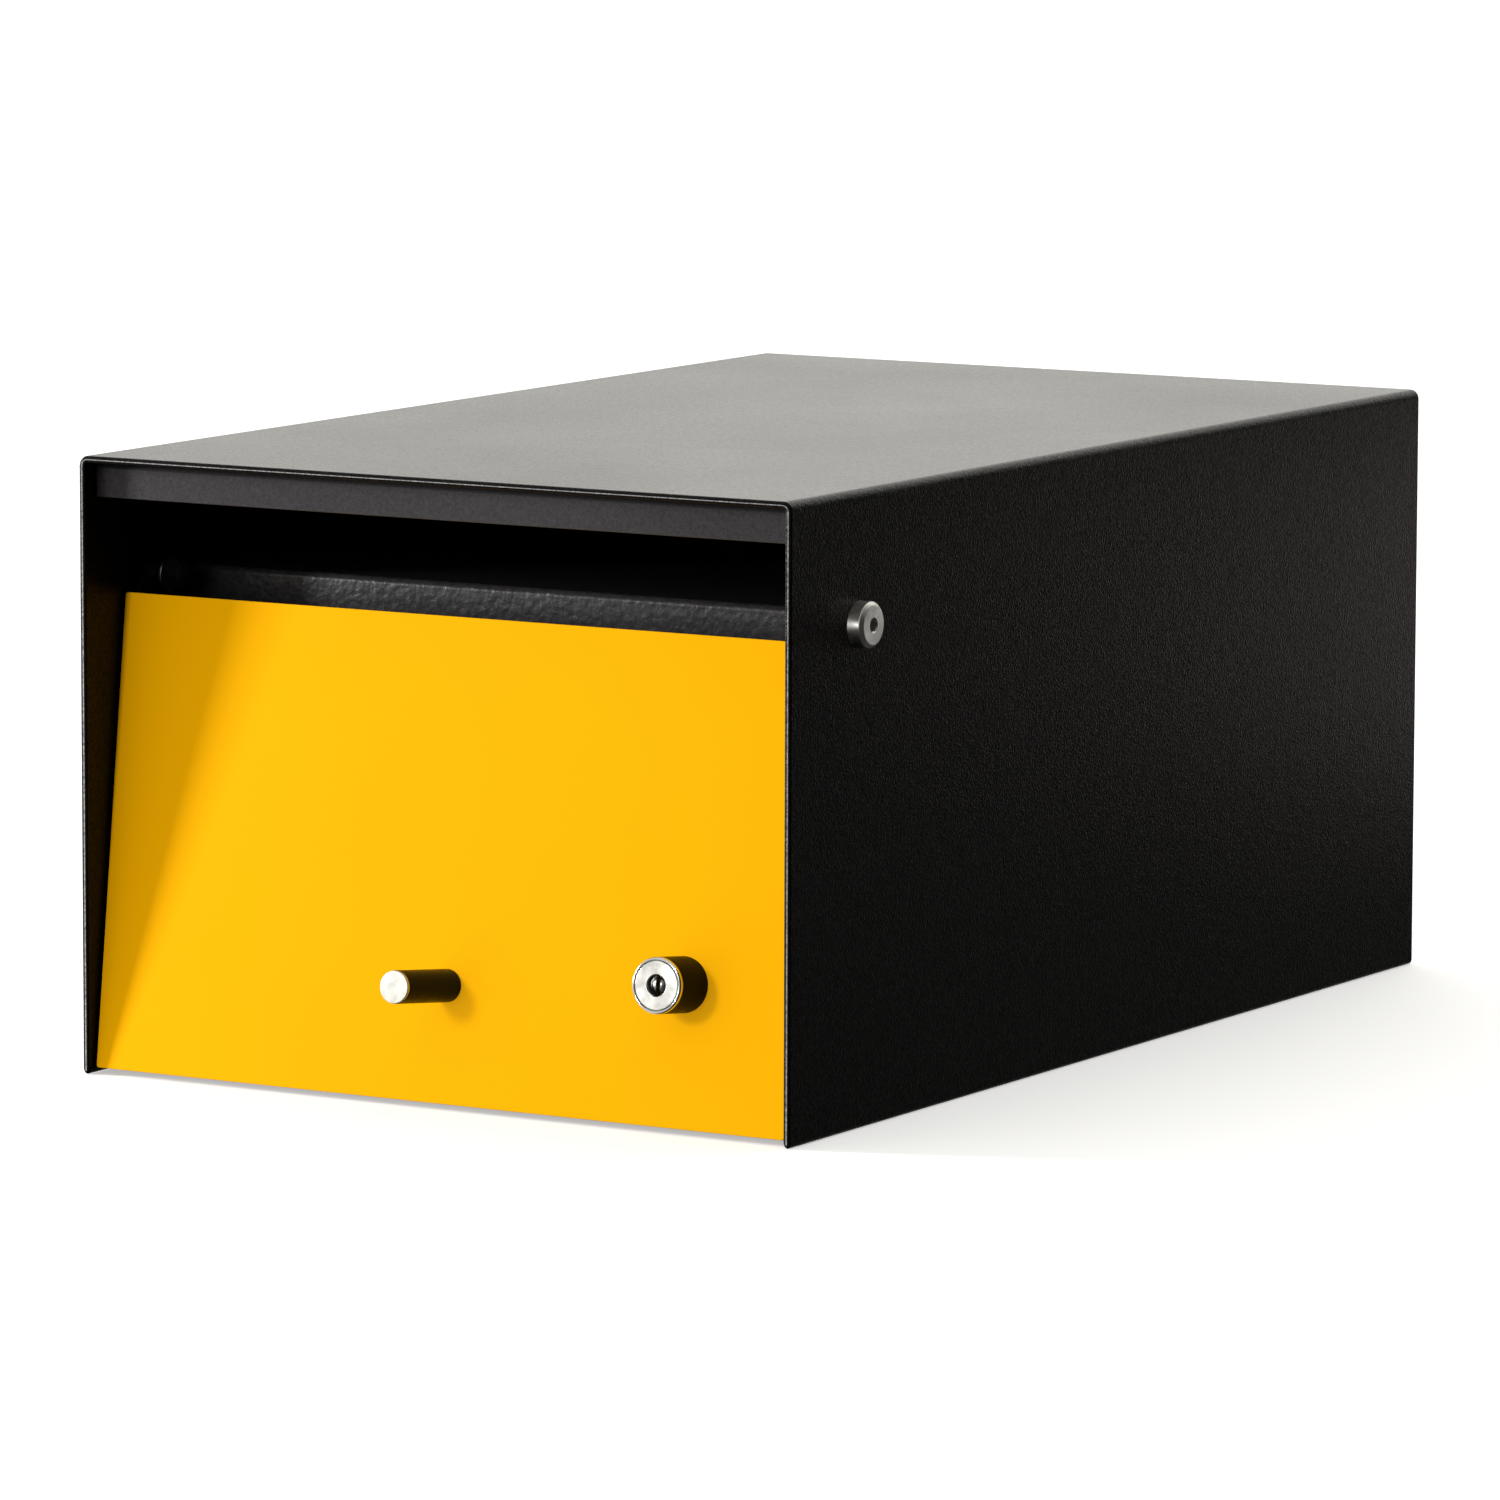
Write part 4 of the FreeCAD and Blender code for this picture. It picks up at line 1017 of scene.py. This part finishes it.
lock_nut_flats = 20 * MM
lock_nut_corner = over_corners(lock_nut_flats)
lock_nut_end = tooth_back + 4 * MM
lock_nut_chamfer = 0.6 * MM
barrel_nut = turned("barrel_nut", [
    (lock_hole, tooth_back, 0.3 * MM), (lock_nut_flats / 2, tooth_back, 0),
    (lock_nut_corner, tooth_back + lock_nut_chamfer, 0),
    (lock_nut_corner, lock_nut_end - lock_nut_chamfer, 0),
    (lock_nut_flats / 2, lock_nut_end, 0), (lock_hole, lock_nut_end, 0.3 * MM)], steps=96)
cut_flats(barrel_nut, lock_nut_flats, tooth_back, lock_nut_end)
soften(barrel_nut, 0.15 * MM, 2)
hand_over(barrel_nut, lock_zinc, "zinc_steel", "door", "lock_nut", place=lock_place)

# ----------------------------------------
# Lock plug. The nickel plated core that the key turns, with a round key mouth and a slot,
# five stamped brass wafers in their chambers and a square tail for the cam.
nickel = turned_metal("satin_nickel", (0.78, 0.77, 0.73), 0.3, lock_place,
                      pitch=0.25 * MM, cut=0.006 * MM, mottle=0.9)
brass, brass_shader, brass_spot = new_finish("stamped_brass", (0.68, 0.5, 0.2), roughness=0.3,
                                             metallic=1.0)
brass_grain = noise(brass_spot, 0.6 * MM, detail=4.0)
dark_brass = (0.5, 0.34, 0.12)
light_brass = (0.75, 0.56, 0.25)
feed(brass_shader, "Roughness", spread(brass_grain, 0.22, 0.42))
feed(brass_shader, "Base Color", tint(brass_grain, dark_brass, light_brass))
recess_shade_starts = lock_proud + 0.5 * MM
recess_shade_full = lock_proud + 1.9 * MM
recess_shade_black = (0.01, 0.01, 0.01)
# Nickel and chrome turn black with depth behind the lock's face: painted shade inside the key mouth
# and the housing.
for plating in (nickel, chrome):
    parts = plating.node_tree.nodes
    depth = join_nodes(plating.node_tree, "ShaderNodeSeparateXYZ",
                       {"Vector": parts["Mapping"].outputs[0]}).outputs["Y"]
    recess_shade = spread(depth, low=0.0, high=0.97, start=recess_shade_starts, stop=recess_shade_full)
    polish = parts["Principled BSDF"].inputs["Base Color"].links[0].from_socket
    feed(parts["Principled BSDF"], "Base Color", tint(recess_shade, polish, recess_shade_black))
disc_front = lock_proud + 0.1 * MM
disc_back = lock_proud + 0.9 * MM
plug_disc = 7.7 * MM
plug_radius = 6 * MM
cam_front = barrel_end + 0.4 * MM
square = 7 * MM
square_end = cam_front + 1.8 * MM
square_tap = 2.1 * MM
mouth_flare = 4.6 * MM
mouth_radius = 3.4 * MM
mouth_deep = disc_front + 2.4 * MM
key_wide = 1.6 * MM
key_tall = 7.2 * MM
key_deep = 19 * MM
wafer_wide = 5 * MM
wafer_tall = 10 * MM
wafer_thick = 0.9 * MM
wafer_play = 0.1 * MM
wafer_pitch = 2.4 * MM
wafer_first = disc_front + 4.5 * MM
wafer_starts = [wafer_first + index * wafer_pitch for index in range(5)]


def block(name, wide, tall, start, stop):
    """A plain bar along Y, used as a cutter or as stock to shape."""
    bar = begin(name, bpy.ops.mesh.primitive_cube_add, size=1,
                location=(0, (start + stop) / 2, 0), scale=(wide, stop - start, tall))
    take(bar)
    return bar


plug = turned("key_plug", [
    (0, disc_front, 0), (plug_disc, disc_front, 0.15 * MM), (plug_disc, disc_back, 0.1 * MM),
    (plug_radius, disc_back, 0), (plug_radius, cam_front, 0.2 * MM), (0, cam_front, 0)], steps=96)
carve(plug, block("tail", square, square, cam_front - MM, square_end), "UNION")
# The mouth is a flared pocket, and the middle of its floor stands up as a low dome.
carve(plug, turned("mouth", [
    (0, disc_front - MM, 0), (mouth_flare, disc_front - MM, 0),
    (mouth_radius, disc_front + 0.2 * MM, 0), (mouth_radius, mouth_deep, 0),
    (2.6 * MM, mouth_deep - 0.4 * MM, 0), (1.5 * MM, mouth_deep - 1.2 * MM, 0),
    (0, mouth_deep - 1.5 * MM, 0)]))
carve(plug, block("slot", key_wide, key_tall, disc_front - MM, disc_front + key_deep))
for start in wafer_starts:
    carve(plug, block("chamber", wafer_wide + 2 * wafer_play, 2 * plug_bore + MM,
                      start - wafer_play, start + wafer_thick + wafer_play))
drill(plug, (0, square_end, 0), (0, 1, 0), square_tap, 14 * MM, corners=32)
soften(plug, 0.08 * MM, 2)
hand_over(plug, nickel, "lock_nickel", "lock", "lock_plug", place=lock_place)
wafers = []
for number, start in enumerate(wafer_starts, 1):
    wafer = block(f"brass_wafer_{number}", wafer_wide, wafer_tall, start, start + wafer_thick)
    carve(wafer, block("window", key_wide, key_tall, start - MM, start + 2 * MM))
    soften(wafer, 0.1 * MM, 2)
    hand_over(wafer, brass, "wafer_brass", "lock", "lock_wafers", place=lock_place)
    wafers.append(wafer)

# ----------------------------------------
# Latch. A zinc plated steel cam on the plug's square tail, held by a washer and a hexagon
# screw. Turned down, it stands behind the strike.
cam_half = 8 * MM
cam_reach = 20 * MM
cam_thick = 2 * MM
cam_back = cam_front + cam_thick
cam_hole = square + 0.2 * MM
cam_plate = begin("latch_cam", bpy.ops.mesh.primitive_circle_add, vertices=64, radius=cam_half,
                  fill_type="NGON", rotation=(math.pi / 2, 0, 0), location=(0, cam_front, 0))
pick(cam_plate, "VERT", lambda place: place.x < -0.01 * MM)
bpy.ops.transform.translate(value=(-cam_reach, 0, 0))
bpy.ops.mesh.select_all(action="SELECT")
bpy.ops.mesh.extrude_region_move(TRANSFORM_OT_translate={"value": (0, cam_thick, 0)})
bpy.ops.mesh.select_all(action="SELECT")
bpy.ops.mesh.normals_make_consistent(inside=False)
take(cam_plate)
carve(cam_plate, block("square", cam_hole, cam_hole, cam_front - MM, cam_back + MM))
soften(cam_plate, 0.25 * MM)
hand_over(cam_plate, lock_zinc, "zinc_steel", "lock", "lock_cam", place=lock_place)
washer_back = cam_back + 0.8 * MM
latch_washer = ring("latch_washer", square_tap, 5 * MM, cam_back, washer_back,
                    roundings=(0, 0.15, 0.2, 0.1))
hand_over(latch_washer, lock_zinc, "zinc_steel", "lock", "cam_washer", place=lock_place)
latch_flats = 7 * MM
latch_corner = over_corners(latch_flats)
latch_top = washer_back + 2.8 * MM
latch_tip = square_end - 6 * MM
latch_screw = turned("latch_screw", [
    (0, latch_tip, 0), *thread(2 * MM, 0.3 * MM, latch_tip, washer_back, 0.7 * MM),
    (latch_corner, washer_back, 0), (latch_corner, latch_top - 0.5 * MM, 0),
    (3.3 * MM, latch_top, 0), (0, latch_top, 0)])
cut_flats(latch_screw, latch_flats, latch_tip, latch_top)
hand_over(latch_screw, lock_zinc, "zinc_steel", "lock", "cam_screw", place=lock_place)

# ----------------------------------------
# Light links. The key and the far glow shine through the pull, the lock and the bolt, so
# that these throw no long shadow, and each fill meets only the pieces that it is set for.
def link_light(lights, links, state, *pieces):
    """Names the pieces that a light's receivers or blockers take in or leave out."""
    members = bpy.data.collections.new(f"{links}_of_{lights[0].name}")
    for piece in pieces:
        members.objects.link(piece)
    for member in members.collection_objects:
        member.light_linking.link_state = state
    for softbox in lights:
        setattr(softbox.light_linking, f"{links}_collection", members)


door_fittings = (post, disc, collar, housing, plug)
link_light((left_key, far_glow), "blocker", "EXCLUDE", *door_fittings, pull_screw, *wafers, bolt)
link_light((left_key,), "receiver", "EXCLUDE", shelf)
link_light((shelf_key,), "receiver", "INCLUDE", shelf)
link_light((front_fill,), "receiver", "INCLUDE", panel, *door_fittings)
link_light((bolt_fill, bolt_glow), "receiver", "INCLUDE", bolt)
link_light((bolt_fill,), "blocker", "EXCLUDE", hood)
